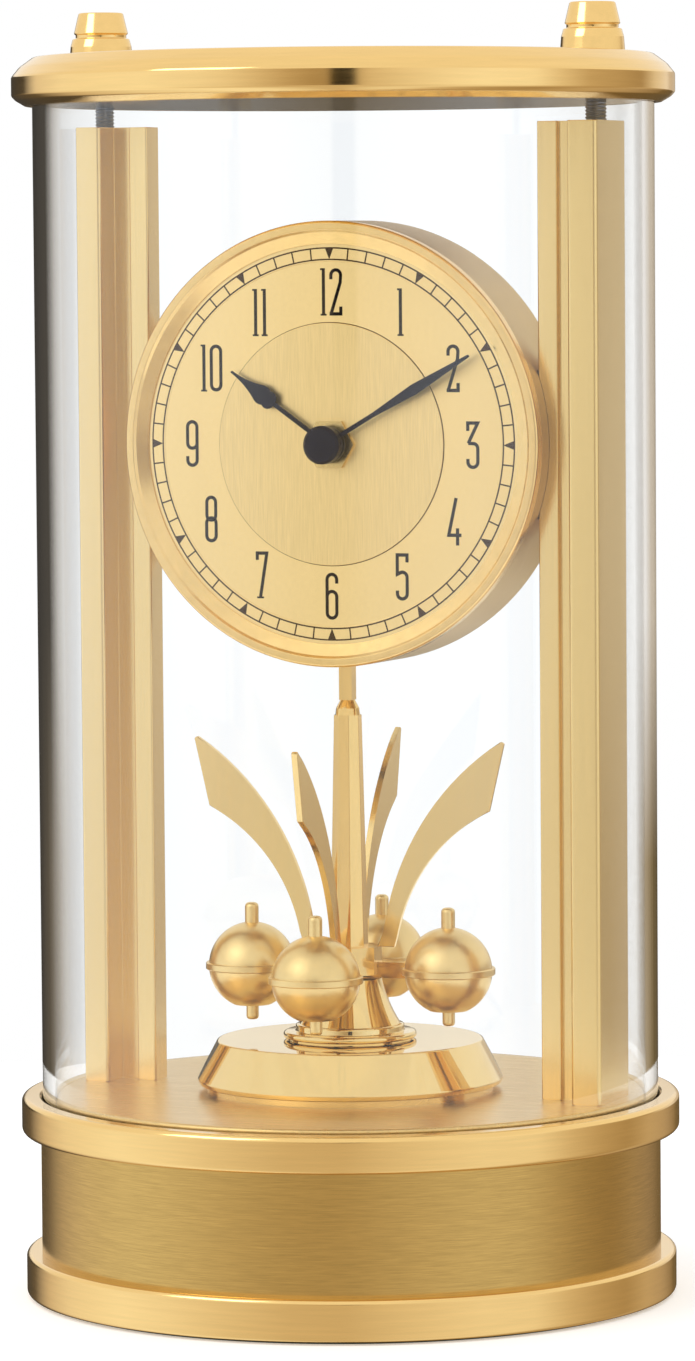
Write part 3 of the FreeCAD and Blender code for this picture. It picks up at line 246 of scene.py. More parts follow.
class Finish:
    """A Principled material and short ways to add nodes to it."""

    def __init__(self, name, **values):
        self.material = bpy.data.materials.new(name)
        self.material.use_nodes = True
        self.tree = self.material.node_tree
        self.shader = self.tree.nodes["Principled BSDF"]
        self.output = self.tree.nodes["Material Output"]
        for socket, value in values.items():
            self.shader.inputs[socket.replace("_", " ")].default_value = value
        self.spot = None

    def node(self, kind, **links):
        """A node; each keyword is an input's name, or _ and its number, with a link or a value."""
        node = self.tree.nodes.new(kind)
        for socket, value in links.items():
            target = node.inputs[int(socket[1:]) if socket[1:].isdigit() else socket.replace("_", " ")]
            if isinstance(value, bpy.types.NodeSocket):
                self.tree.links.new(value, target)
            else:
                target.default_value = value
        return node

    def maths(self, operation, first, second=0.0):
        node = self.node("ShaderNodeMath", _0=first, _1=second)
        node.operation = operation
        return node.outputs[0]

    def coordinates(self):
        """Object coordinates in millimetres."""
        if self.spot is None:
            here = self.node("ShaderNodeTexCoord").outputs["Object"]
            self.spot = self.node("ShaderNodeVectorMath", _0=here, _3=1 / MM)
            self.spot.operation = "SCALE"
        return self.spot.outputs[0]

    def around(self, axis, across, middle=0.0):
        """Coordinates that run along circles about an axis: (arc length, along axis, radius)."""
        parts = self.node("ShaderNodeSeparateXYZ", Vector=self.coordinates())
        x, y, z = parts.outputs
        if axis == "Y":
            x, y, z = x, self.maths("SUBTRACT", z, middle), y
        turn = self.maths("ARCTAN2", x, self.maths("MULTIPLY", y, -1.0))
        square = self.maths("ADD", self.maths("MULTIPLY", x, x), self.maths("MULTIPLY", y, y))
        radius = self.maths("SQRT", square)
        length = self.maths("MULTIPLY", turn, across)
        return self.node("ShaderNodeCombineXYZ", X=length, Y=z, Z=radius).outputs[0]

    def grain(self, where, scale, detail=4.0):
        """Noise stretched so that it changes scale[i] times per millimetre along each axis."""
        stretched = self.node("ShaderNodeVectorMath", _0=where, _1=scale)
        stretched.operation = "MULTIPLY"
        noise = self.node("ShaderNodeTexNoise", Vector=stretched.outputs[0], Scale=1.0, Detail=detail,
                          Roughness=0.6)
        return noise.outputs["Fac"]

    def between(self, factor, low, high):
        """A number that goes from low to high with a factor."""
        node = self.node("ShaderNodeMapRange", Value=factor, From_Min=0.25, From_Max=0.75,
                         To_Min=low, To_Max=high)
        return node.outputs["Result"]

    def blend(self, factor, first, second):
        """A colour that goes from the first to the second with a factor."""
        ramp = self.node("ShaderNodeValToRGB", Fac=factor)
        ramp.color_ramp.elements[0].position = 0.3
        ramp.color_ramp.elements[1].position = 0.7
        ramp.color_ramp.elements[0].color = (*first, 1)
        ramp.color_ramp.elements[1].color = (*second, 1)
        return ramp.outputs["Color"]

    def feed(self, **sockets):
        for socket, source in sockets.items():
            self.tree.links.new(source, self.shader.inputs[socket.replace("_", " ")])

    def emboss(self, height, depth):
        """Bump from a height of 0 to 1, this many millimetres deep."""
        bump = self.node("ShaderNodeBump", Height=height, Distance=depth * MM, Strength=1.0)
        self.feed(Normal=bump.outputs[0])


def tinted(colour, share):
    return tuple(channel * share for channel in colour)


GOLD = (0.92, 0.64, 0.26)
PALE_GOLD = (0.92, 0.685, 0.31)
# The base drum and the shell of the clock head are a deeper gold than the rest.
DEEP_GOLD = (0.66, 0.435, 0.14)


def metal(name, colour, roughness, spread=0.04, tone=0.93, wear=(0.35, 0.35, 0.35), depth=0.0):
    """A smooth metal with faint uneven patches of colour and polish."""
    finish = Finish(name, Metallic=1.0)
    patches = finish.grain(finish.coordinates(), wear, 5.0)
    finish.feed(Base_Color=finish.blend(patches, tinted(colour, tone), colour),
                Roughness=finish.between(patches, roughness - spread / 2, roughness + spread / 2))
    if depth:
        finish.emboss(patches, depth)
    return finish.material


def brushed(name, colour, roughness, where, scale, tone=0.8, depth=0.004, turning=None):
    """A metal brushed in one direction: long fine streaks in colour, polish and height."""
    finish = Finish(name, Metallic=1.0)
    spot = finish.coordinates() if where is None else finish.around(*where)
    streaks = finish.grain(spot, scale, 5.0)
    finish.feed(Base_Color=finish.blend(streaks, tinted(colour, tone), colour),
                Roughness=finish.between(streaks, roughness + 0.06, roughness - 0.06))
    finish.emboss(streaks, depth)
    if turning:
        finish.shader.inputs["Anisotropic"].default_value = 0.6
        tangent = finish.node("ShaderNodeTangent")
        tangent.direction_type = "RADIAL"
        tangent.axis = turning
        finish.feed(Tangent=tangent.outputs[0])
    return finish.material


def moulded(name, colour, roughness, bump=0.01, scale=(3, 3, 3), **values):
    """Plastic, rubber, card or lacquer with a fine even texture."""
    finish = Finish(name, **values)
    specks = finish.grain(finish.coordinates(), scale, 3.0)
    finish.feed(Base_Color=finish.blend(specks, tinted(colour, 0.8), tinted(colour, 1.2)),
                Roughness=finish.between(specks, roughness - 0.05, roughness + 0.05))
    finish.emboss(specks, bump)
    return finish.material


def clear_glass():
    """Clear glass that lets the lamps through. Its shadow would hide what it encloses."""
    finish = Finish("clear_glass", Transmission_Weight=1.0, IOR=1.5, Roughness=0.0)
    finish.shader.inputs["Base Color"].default_value = (0.975, 0.99, 1.0, 1)
    finish.shader.inputs["Specular IOR Level"].default_value = 0.12
    open_way = finish.node("ShaderNodeBsdfTransparent")
    open_way.inputs["Color"].default_value = (0.94, 0.96, 0.97, 1)
    path = finish.node("ShaderNodeLightPath")
    choice = finish.node("ShaderNodeMixShader", _0=path.outputs["Is Shadow Ray"],
                         _1=finish.shader.outputs[0], _2=open_way.outputs[0])
    finish.tree.links.new(choice.outputs[0], finish.output.inputs["Surface"])
    return finish.material


HEAD = Extent("bezel")
HEAD_HEIGHT = (HEAD.bottom + HEAD.top) / 2
FACING = Matrix.Translation((0, 0, HEAD_HEIGHT)) @ Matrix.Rotation(math.radians(90), 4, "X")
SWUNG = Matrix.Rotation(PENDULUM_ANGLE, 4, "Z")

RING_BRUSH = (0.15, 6.0, 6.0)
MATERIALS = {
    "drum": brushed("brushed_gold_drum", DEEP_GOLD, 0.22, ("Z", 72.0), RING_BRUSH, 0.74, turning="Z"),
    "ring": metal("satin_gold_ring", GOLD, 0.15, wear=(0.05, 0.05, 1.2)),
    "lid": metal("polished_gold_lid", GOLD, 0.11, wear=(0.05, 0.05, 1.2)),
    "mirror": metal("mirror_gold", PALE_GOLD, 0.035, 0.02, 0.97),
    "finial": metal("polished_gold_finial", GOLD, 0.13),
    "platform": brushed("brushed_gold_platform", GOLD, 0.30, None, (0.07, 2.2, 2.2), 0.80),
    "column": brushed("satin_gold_column", PALE_GOLD, 0.20, None, (1.8, 1.8, 0.02), 0.93, 0.002),
    "case": brushed("brushed_gold_case", DEEP_GOLD, 0.32, ("Y", 51.0, HEAD_HEIGHT), RING_BRUSH, 0.80),
    "bezel": metal("satin_gold_bezel", GOLD, 0.17),
    "dial": brushed("satin_dial", PALE_GOLD, 0.36, None, (0.9, 0.9, 0.9), 0.96, 0.001),
    "centre": brushed("brushed_dial_centre", PALE_GOLD, 0.34, None, (5.0, 5.0, 0.15), 0.84),
    "ball": metal("satin_gold_ball", PALE_GOLD, 0.30, wear=(0.2, 0.2, 0.2)),
    "pendulum": metal("polished_gold_pendulum", GOLD, 0.08, wear=(0.6, 0.6, 0.1)),
    "leaf": brushed("satin_gold_leaf", PALE_GOLD, 0.16, None, (0.8, 0.8, 0.12), 0.93, 0.002),
    "brass": metal("turned_brass", (0.78, 0.57, 0.24), 0.24, 0.08, 0.85, (2.0, 2.0, 2.0)),
    "steel": metal("blackened_steel", (0.20, 0.23, 0.29), 0.32, 0.1, 0.7, (1.5, 1.5, 1.5), 0.01),
    "iron": metal("cast_iron", (0.18, 0.17, 0.16), 0.62, 0.1, 0.6, (0.7, 0.7, 0.7), 0.2),
    "nickel": metal("nickel_spring", (0.66, 0.64, 0.60), 0.25, 0.06, 0.85),
    "magnet": metal("magnet_grey", (0.34, 0.34, 0.36), 0.4, 0.1, 0.8),
    "copper": brushed("copper_winding", (0.72, 0.30, 0.14), 0.3, None, (5.0, 0.1, 0.1), 0.6, 0.05),
    "lacquer": moulded("navy_lacquer", (0.006, 0.009, 0.022), 0.28, 0.002, Specular_IOR_Level=0.12),
    "print": moulded("dial_print", (0.012, 0.007, 0.005), 0.45, 0.001, Specular_IOR_Level=0.1),
    # Brown print for the track and the hour marks. The same finish also paints the shade ring round
    # the dial centre.
    "track": moulded("dial_print_and_painted_shade", (0.055, 0.026, 0.009), 0.45, 0.001,
                      Specular_IOR_Level=0.1),
    "black": moulded("black_case_plastic", (0.018, 0.018, 0.02), 0.42),
    "gear": moulded("white_gear_plastic", (0.72, 0.70, 0.64), 0.35),
    "rubber": moulded("clear_gasket", (0.42, 0.42, 0.41), 0.5, 0.01),
    "felt": moulded("dark_felt", (0.012, 0.03, 0.018), 0.95, 0.25, (4, 4, 4), Sheen_Weight=0.5),
    "board": moulded("green_board", (0.02, 0.11, 0.04), 0.4),
    "cell": moulded("battery_jacket", (0.10, 0.12, 0.16), 0.3, 0.002, Metallic=0.6),
    "glass": clear_glass(),
}

NODE_FINISHES = {
    "felt": ["felt_pad"],
    "iron": ["ballast_plate"],
    "rubber": ["glass_gasket_lower", "glass_gasket_upper"],
    "steel": ["rod_nuts"],
    "case": ["head_case", "back_cover", "drive_case"],
    "brass": ["head_brackets", "cannon_pinion", "dial_nut", "guide_pin", "pendulum_arbor"],
    "nickel": ["bracket_screws", "battery_contacts", "stator"],
    "gear": ["hour_wheel", "minute_wheel", "third_wheel", "fourth_wheel", "fifth_wheel"],
    "black": ["movement_front", "movement_back", "setting_knob"],
    "magnet": ["rotor", "drive_magnet"],
    "cell": ["battery"],
    "board": ["circuit_board"],
    "copper": ["step_coil", "drive_coils"],
    "lacquer": ["minute_hand", "hour_hand"],
    "pendulum": ["pendulum_rod", "pendulum_collar", "pendulum_hub"],
    "ball": ["ball_right", "ball_back", "ball_left", "ball_front", "ball_bands", "ball_pins"],
}


def finish_nodes():
    for finish, names in NODE_FINISHES.items():
        for name in names:
            mesh = NODES[name].data
            mesh.materials.clear()
            mesh.materials.append(MATERIALS[finish])


# ---------------------------------------------------------------- base and lid


GLASS_WALL = 2.8
GROOVE_GAP = 0.3
DRUM_WALL = 1.5
RING_SEAT_RADIUS = 66.0
FELT_GAP = 0.2
ROD_RADIUS = 2.4
ROD_HOLE_RADIUS = 2.7
FINIAL_BORE_RADIUS = 2.46
BORE_OVERSHOOT = 1


def make_base():
    foot = Extent("foot_disc")
    drum = Extent("base_drum")
    ring = Extent("base_ring")
    glass = Extent("glass_tube")
    platform = Extent("platform_disc")
    felt = Extent("felt_pad")
    recess = felt.right + FELT_GAP
    show(lathe("foot_disc_turned", [
        (0, felt.top), (recess, felt.top), (recess, foot.bottom), (foot.right, foot.bottom, 1.0),
        (foot.right, foot.top, 1.1), (0, foot.top)]),
        "frame", MATERIALS["ring"], "polished_gold", "foot_disc")
    inside = drum.right - DRUM_WALL
    show(lathe("base_drum_brushed", [
        (inside, drum.bottom), (drum.right, drum.bottom), (drum.right, drum.top),
        (inside, drum.top)]), "frame", MATERIALS["drum"], "brushed_gold", "base_drum")
    groove = glass.right + GROOVE_GAP
    show(lathe("base_ring_turned", [
        (RING_SEAT_RADIUS, ring.bottom), (ring.right, ring.bottom, 1.3), (ring.right, ring.top, 1.3),
        (groove + 0.5, ring.top, 0.2), (groove, ring.top - 0.5, 0.2),
        (groove, platform.bottom), (RING_SEAT_RADIUS, platform.bottom)]),
        "frame", MATERIALS["ring"], "polished_gold", "base_ring")
    show(lathe("platform_brushed", [
        (0, platform.bottom), (platform.right, platform.bottom), (platform.right, platform.top, 0.8),
        (0, platform.top)]), "frame", MATERIALS["platform"], "brushed_gold", "platform_disc")




def make_glass():
    tube = Extent("glass_tube")
    rim = 0.5
    inner = tube.right - GLASS_WALL
    piece = lathe("glass_tube_clear", [
        (inner, tube.bottom, rim), (tube.right, tube.bottom, rim), (tube.right, tube.top, rim),
        (inner, tube.top, rim)], segments=GLASS_SEGMENTS)
    show(piece, "glass", MATERIALS["glass"], "clear_glass", "glass_tube")


def make_lid():
    lid = Extent("lid")
    glass = Extent("glass_tube")
    gasket = Extent("glass_gasket_upper")
    rod = Extent("tie_rods")
    inner, outer = glass.right - GLASS_WALL - GROOVE_GAP, glass.right + GROOVE_GAP
    side = lid.right
    piece = lathe("lid_turned", [
        (0, lid.bottom), (inner, lid.bottom, 0.2), (inner, gasket.top), (outer, gasket.top),
        (outer, lid.bottom, 0.2), (side - 3.1, lid.bottom, 0.3), (side - 0.9, lid.bottom + 1.3, 2.0),
        (side, lid.bottom + 2.3, 0.7), (side, lid.bottom + 6.6, 1.1),
        (side - 1.9, lid.bottom + 8.9, 4.0), (side - 5.1, lid.top, 1.6), (0, lid.top)])
    offset = rod.right - ROD_RADIUS
    cut_holes(piece, [(offset, 0), (-offset, 0)], ROD_HOLE_RADIUS,
              lid.bottom - BORE_OVERSHOOT, lid.top + BORE_OVERSHOOT)
    show(piece, "lid", MATERIALS["lid"], "polished_gold", "lid")

    for name, side in (("finial_right", 1), ("finial_left", -1)):
        finial = Extent(name)
        middle = (finial.left + finial.right) / 2
        base, top = finial.bottom, finial.top
        wide = finial.right - middle
        bore = FINIAL_BORE_RADIUS
        piece = lathe(f"{name}_turned", [
            (bore, base), (wide, base, 0.2), (wide - 0.25, base + 3.2, 1.0),
            (wide - 0.75, base + 5.0, 0.3), (wide - 1.45, base + 5.15, 0.15),
            (wide - 1.45, base + 5.95, 0.15), (wide - 1.05, base + 6.2, 0.25),
            (wide - 2.2, top, 0.45), (0, top), (0, base + 8.0), (bore, base + 6.8)],
            Matrix.Translation((middle, 0, 0)), FINIAL_SEGMENTS)
        show(piece, name, MATERIALS["finial"], "polished_gold", name)


# ---------------------------------------------------------------- columns and tie rods


def column_corners():
    """Half of an extrusion's plan about its tie rod, with +x pointing away from the clock."""
    bar_out, bar_in, tab_in, tip = 3.4, -3.4, -8.0, -12.8
    deep, neck, tab = 10.0, 2.0, 3.3
    half = [(bar_out, -deep, 0.9), (bar_in, -deep, 0.9), (bar_in, -neck, 0.15), (tab_in, -neck, 0.15),
            (tab_in, -tab, 0.35), (tip, -tab, 0.45)]
    mirrored = [(corner[0], -corner[1], corner[2]) for corner in reversed(half)]
    return [tuple(corner) for corner in mirrored + half]


def make_columns():
    rod = Extent("tie_rods")
    offset = rod.right - ROD_RADIUS
    for name, side in (("right", 1), ("left", -1)):
        column = Extent(f"column_{name}")
        turn = Matrix.Rotation(0 if side > 0 else math.pi, 4, "Z")
        piece = plate(f"column_{name}_extruded", column_corners(), column.bottom, column.top, 0.25,
                      Matrix.Translation((side * offset, 0, 0)) @ turn)
        show(piece, "frame", MATERIALS["column"], "column_gold", f"column_{name}")

    rods = bmesh.new()
    for side in (1, -1):
        add_threaded_rod(rods, side * offset, rod.bottom, rod.top, ROD_RADIUS)
    show(finish_mesh("tie_rods_threaded", rods), "frame", MATERIALS["steel"], "dark_steel",
         "tie_rods")


def add_threaded_rod(bm, x, bottom, top, radius):
    """A tie rod with a helical thread cut at both ends and a plain shank between."""
    pitch, depth = 0.8, 0.38
    thread_length = 28.0
    around, rows_per_turn = 24, 6
    steps = rows_per_turn * round(thread_length / pitch)
    heights = [bottom + thread_length * step / steps for step in range(steps + 1)]
    heights += [top - thread_length * (steps - step) / steps for step in range(steps + 1)]
    rings = []
    for height in heights:
        end = min(height - bottom, top - height)
        cut = depth * min(1.0, max(0.0, (thread_length - end) / pitch))
        taper = max(0.0, 0.5 - end)
        ring = []
        for step in range(around):
            share = ((height - bottom) / pitch - step / around) % 1
            groove = cut * abs(2 * share - 1)
            angle = 2 * math.pi * step / around
            reach = radius - groove - taper
            ring.append(bm.verts.new((x + reach * math.cos(angle), reach * math.sin(angle), height)))
        rings.append(ring)
    for ring, following in zip(rings, rings[1:]):
        for step in range(around):
            ahead = (step + 1) % around
            bm.faces.new((ring[step], ring[ahead], following[ahead], following[step]))
    bm.faces.new(rings[0][::-1])
    bm.faces.new(rings[-1])


# ---------------------------------------------------------------- clock head

DIAL = Extent("dial_plate")
DIAL_FRONT = -DIAL.front
TRACK_OUTER, TRACK_INNER, TRACK_LINE = 45.4, 42.75, 0.34
TRACK_SEGMENTS = 240
HOUR_MARK_HALF_WIDTH = 1.05
# Width of a dark ring of painted shade round the raised edge of the dial centre.
CENTRE_SHADE_RING_WIDTH = 0.16
CENTRE_RADIUS = 28.0
SINK = 0.12
PRINT = 0.03


def make_bezel():
    case = Extent("head_case")
    front = -HEAD.front
    step = -case.front
    outer = HEAD.right
    spigot = outer - 1.65
    throat = 46.2
    seat = DIAL.right + 0.2
    show(lathe("bezel_turned", [
        (seat, -HEAD.back), (spigot, -HEAD.back), (spigot, step), (outer, step),
        (outer, front, 0.7), (outer - 2.0, front, 0.35), (outer - 2.6, front - 0.55, 0.3),
        (throat + 0.5, DIAL_FRONT + 0.6, 0.3), (throat, DIAL_FRONT + 0.4), (throat, DIAL_FRONT + 0.05),
        (seat, DIAL_FRONT + 0.05)], FACING), "frame", MATERIALS["bezel"], "polished_gold", "bezel")


def make_dial():
    hole = 4.2
    back = -DIAL.back
    sunk = DIAL_FRONT - SINK
    step = TRACK_INNER - 0.55
    show(lathe("dial_plate_stepped", [
        (hole, back), (DIAL.right, back), (DIAL.right, DIAL_FRONT), (step, DIAL_FRONT, 0.05),
        (step - SINK, sunk, 0.03), (hole, sunk)], FACING),
        "frame", MATERIALS["dial"], "dial_gold", "dial_plate")
    raised = -Extent("dial_centre").front
    show(lathe("dial_centre_brushed", [
        (hole, sunk), (CENTRE_RADIUS, sunk), (CENTRE_RADIUS, raised, 0.12), (hole, raised)], FACING),
        "frame", MATERIALS["centre"], "dial_gold", "dial_centre")
    # A thin dark ring at the foot of the raised centre is painted shade. It stands in for the shadow
    # along that edge.
    outline = CENTRE_RADIUS + CENTRE_SHADE_RING_WIDTH
    rim = lathe("dial_centre_painted_shade_ring", [
        (CENTRE_RADIUS, sunk), (outline, sunk), (outline, sunk + PRINT),
        (CENTRE_RADIUS, sunk + PRINT)], FACING)
    show(rim, "frame", MATERIALS["track"], "hand_black")


def make_track():
    """The minute track: two circles, a tick at each minute and a triangle at each hour."""
    base, top = DIAL_FRONT, DIAL_FRONT + PRINT
    bm = bmesh.new()
    for radius in (TRACK_OUTER, TRACK_INNER):
        circle = whole_circle((0, 0), radius - TRACK_LINE / 2, TRACK_SEGMENTS)
        add_stroke(bm, circle, TRACK_LINE, base, top, closed=True)
    inner, outer = TRACK_INNER - TRACK_LINE / 2, TRACK_OUTER - TRACK_LINE / 2
    marks = bmesh.new()
    for minute in range(60):
        turn = Matrix.Rotation(-math.radians(6 * minute), 2)
        if minute % 5:
            tick = [turn @ Vector((0, inner)), turn @ Vector((0, outer))]
            add_stroke(bm, tick, TRACK_LINE, base, top)
            continue
        wedge = [turn @ Vector(corner) for corner in (
            (-HOUR_MARK_HALF_WIDTH, outer), (0, inner), (HOUR_MARK_HALF_WIDTH, outer))]
        add_plate(marks, wedge, base, top + PRINT / 4)
    show(finish_mesh("dial_minute_track", bm, FACING), "frame", MATERIALS["track"], "hand_black")
    show(finish_mesh("dial_hour_marks", marks, FACING), "frame", MATERIALS["track"], "hand_black")


# Numerals stand in a cell 3.2 wide and 10.9 high about their middle. Each is a list of strokes, and
# a stroke is (width, closed, points).
TALL, WIDE, STEM, SERIF = 10.9, 3.2, 0.78, 0.42
TOP, SIDE = TALL / 2 - STEM / 2, WIDE / 2 - STEM / 2


def oval(bottom, top, side=SIDE):
    """A narrow upright ring with half-round ends."""
    return arc((0, top - side), side, 0, 180) + arc((0, bottom + side), side, 180, 360)


NUMERALS = {
    "1": [(STEM, False, [(0, -TOP), (0, TALL / 2)]),
          (SERIF, False, [(-0.75, -TALL / 2 + SERIF / 2), (0.75, -TALL / 2 + SERIF / 2)]),
          (SERIF, False, [(-0.8, TALL / 2 - SERIF / 2), (0.1, TALL / 2 - SERIF / 2)])],
    "2": [(STEM, False, [(-SIDE, 2.9)] + arc((0, TOP - SIDE), SIDE, 180, 0)
           + [(SIDE - 0.1, 2.2), (-SIDE, -TOP)]),
          (STEM, False, [(-WIDE / 2, -TOP), (SIDE, -TOP), (SIDE, -TOP + 1.7)])],
    "3": [(STEM, False, [(-SIDE, TOP - 1.8), (-SIDE, TOP), (SIDE, TOP), (-SIDE + 0.1, 0.4)]),
          (STEM, False, [(-SIDE + 0.1, 0.4)] + arc((0, 0.4 - SIDE), SIDE, 75, 0, 6)
           + arc((0, -TOP + SIDE), SIDE, 0, -180) + [(-SIDE, -TOP + SIDE + 0.7)])],
    "4": [(STEM, False, [(0.55, TALL / 2), (-SIDE - 0.1, -3.1), (WIDE / 2 + 0.2, -3.1)]),
          (STEM, False, [(0.85, -1.5), (0.85, -TALL / 2)])],
    "5": [(STEM, False, [(SIDE, TOP - 1.7), (SIDE, TOP), (-SIDE, TOP), (-SIDE, 0.6)]
           + arc((0, 1.1 - SIDE), SIDE, 100, 0, 8) + arc((0, -TOP + SIDE), SIDE, 0, -180)
           + [(-SIDE, -TOP + SIDE + 0.7)])],
    "6": [(STEM, True, oval(-TOP, 1.1)),
          (STEM, False, [(SIDE, TOP - SIDE - 0.9)] + arc((0, TOP - SIDE), SIDE, 0, 180)
           + [(-SIDE, -TOP + SIDE)])],
    "7": [(STEM, False, [(-SIDE, TOP - 1.6), (-SIDE, TOP), (SIDE, TOP), (-0.45, -TOP)]),
          (SERIF, False, [(-1.3, -TALL / 2 + SERIF / 2), (0.4, -TALL / 2 + SERIF / 2)])],
    "8": [(STEM, True, oval(-0.25, TOP, SIDE - 0.08)), (STEM, True, oval(-TOP, 0.25))],
    "9": [(STEM, True, oval(-1.1, TOP)),
          (STEM, False, [(SIDE, TOP - SIDE)] + arc((0, -TOP + SIDE), SIDE, 0, -180)
           + [(-SIDE, -TOP + SIDE + 0.9)])],
    "0": [(STEM, True, oval(-TOP, TOP))],
}
# How far each figure reaches either side of its own middle, for setting two side by side.
HALF_WIDTHS = {"1": 0.75, "2": WIDE / 2, "0": WIDE / 2}
NUMERAL_CIRCLE = 35.1
FIGURE_GAP = 0.75


def make_numerals():
    base = DIAL_FRONT - SINK
    bm = bmesh.new()
    for hour in range(1, 13):
        angle = math.radians(30 * hour)
        middle = Vector((math.sin(angle), math.cos(angle))) * NUMERAL_CIRCLE
        figures = str(hour)
        spread = 0.0
        if len(figures) == 2:
            spread = (HALF_WIDTHS[figures[0]] + HALF_WIDTHS[figures[1]] + FIGURE_GAP) / 2
        for place, figure in enumerate(figures):
            shift = (2 * place - 1) * spread if spread else 0.0
            for layer, (width, closed, points) in enumerate(NUMERALS[figure]):
                path = [(middle.x + shift + x, middle.y + y) for x, y in points]
                lift = base + PRINT + layer * PRINT / 4
                add_stroke(bm, path, width, base, lift, closed)
    show(finish_mesh("dial_numerals", bm, FACING), "frame", MATERIALS["print"], "hand_black")


def make_hand_cap():
    cap = Extent("hand_cap")
    back, front = -cap.back, -cap.front
    radius = cap.right
    bore, depth = 1.7, 1.5
    show(lathe("hand_cap_turned", [
        (bore, back), (radius, back, 0.15), (radius, front - 0.75, 0.15), (radius - 0.75, front, 0.2),
        (0, front), (0, back + depth), (bore, back + depth)], FACING, CAP_SEGMENTS),
        "minute_hand", MATERIALS["lacquer"], "hand_black", "hand_cap")


# ---------------------------------------------------------------- pendulum and pedestal


POST_SIDES = 8


def make_post():
    """The tapered eight-sided post, with its long edges slightly rounded."""
    post = Extent("pendulum_post")
    top_width, bottom_width, edge = 6.0, 8.2, 0.22
    bm = bmesh.new()
    rings = []
    for width, height in ((bottom_width, post.bottom), (top_width, post.top)):
        reach = width / 2 / math.cos(math.radians(180 / POST_SIDES))
        angles = [math.radians(180 / POST_SIDES + 360 / POST_SIDES * side)
                  for side in range(POST_SIDES)]
        corners = [(reach * math.cos(a), reach * math.sin(a), edge) for a in angles]
        rings.append([bm.verts.new((x, y, height)) for x, y in rounded(corners)])
    low, high = rings
    for index in range(len(low)):
        ahead = (index + 1) % len(low)
        bm.faces.new((low[index], low[ahead], high[ahead], high[index]))
    bm.faces.new(low[::-1])
    bm.faces.new(high)
    show(finish_mesh("pendulum_post_faceted", bm, SWUNG), "pendulum", MATERIALS["pendulum"],
         "pendulum_gold", "pendulum_post")


def curve_between(start, end, radius, steps=18):
    """Points from start to end along an arc; a positive radius turns left on the way."""
    start, end = Vector(start), Vector(end)
    chord = end - start
    rise = abs(radius) - math.sqrt(radius ** 2 - (chord.length / 2) ** 2)
    side = Vector((chord.y, -chord.x)).normalized() * math.copysign(1, radius)
    centre = (start + end) / 2 + side * (rise - abs(radius))
    spoke = start - centre
    sweep = 2 * math.asin(chord.length / 2 / abs(radius)) * math.copysign(1, radius)
    return [tuple(centre + Matrix.Rotation(sweep * step / steps, 2) @ spoke)
            for step in range(steps + 1)]


def make_leaves():
    """Four flat petals in radial planes, each curving outwards from the hub."""
    leaves = Extent("pendulum_leaves")
    foot = leaves.bottom
    thick, edge = 1.4, 0.22
    outer_foot, inner_foot = (12.0, foot + 3.0), (8.6, foot + 3.0)
    low_tip, high_tip, crest = (34.4, foot + 32.1), (38.0, foot + 47.8), (37.2, foot + 48.3)
    outline = [(7.0, foot), (11.2, foot)]
    outline += curve_between(outer_foot, low_tip, -41.0)
    outline += curve_between(high_tip, crest, 0.9, 3)
    outline += curve_between(crest, inner_foot, 64.0)[1:]
    upright = Matrix.Rotation(math.radians(90), 4, "X")
    bm = bmesh.new()
    for quarter in range(4):
        leaf = bmesh.new()
        rims = add_plate(leaf, outline, -thick / 2, thick / 2)
        soften(leaf, rims, edge)
        turn = Matrix.Rotation(PENDULUM_ANGLE + math.radians(90 * quarter), 4, "Z")
        leaf.transform(turn @ upright)
        part = bpy.data.meshes.new("leaf")
        leaf.to_mesh(part)
        leaf.free()
        bm.from_mesh(part)
        bpy.data.meshes.remove(part)
    show(finish_mesh("pendulum_leaves_bevelled", bm), "pendulum", MATERIALS["leaf"],
         "pendulum_gold", "pendulum_leaves")


def make_pedestal():
    disc = Extent("pedestal_disc")
    bore = 2.1
    wide, base, top = disc.right, disc.bottom, disc.top
    show(lathe("pedestal_disc_polished", [
        (bore, base), (wide - 2.3, base), (wide - 2.3, base + 1.5), (wide - 0.5, base + 1.5, 0.5),
        (wide, base + 2.7, 0.7), (wide - 4.8, top, 0.6), (bore, top)]),
        "frame", MATERIALS["mirror"], "polished_gold", "pedestal_disc")
    trumpet = Extent("pedestal_trumpet")
    base, top, bead = trumpet.bottom, trumpet.top, trumpet.right
    collet, neck = 12.6, 7.6
    flare = curve_between((collet - 0.8, base + 3.6), (neck, top), -30.0)
    show(lathe("pedestal_trumpet_polished", [
        (bore, base), (bead - 1.2, base), (bead - 1.2, base + 0.35, 0.1),
        (bead, base + 0.35, 0.7), (bead, base + 1.85, 0.7), (collet + 0.1, base + 1.95, 0.2),
        (collet + 0.1, base + 3.5, 0.7), *flare, (bore, top)]),
        "frame", MATERIALS["mirror"], "polished_gold", "pedestal_trumpet")


# ---------------------------------------------------------------- studio

CAMERA_AZIMUTH = math.radians(22.79)
CAMERA_DISTANCE = 1.4385
CAMERA_HEIGHT = 0.2446
CAMERA_TILT = math.radians(4.04)
CAMERA_ROLL = math.radians(-0.43)
FOCAL_LENGTH = 6193.6
PHOTO_HEIGHT = 1361
SENSOR = 24.0
CLIP_NEAR, CLIP_FAR = 0.05, 50


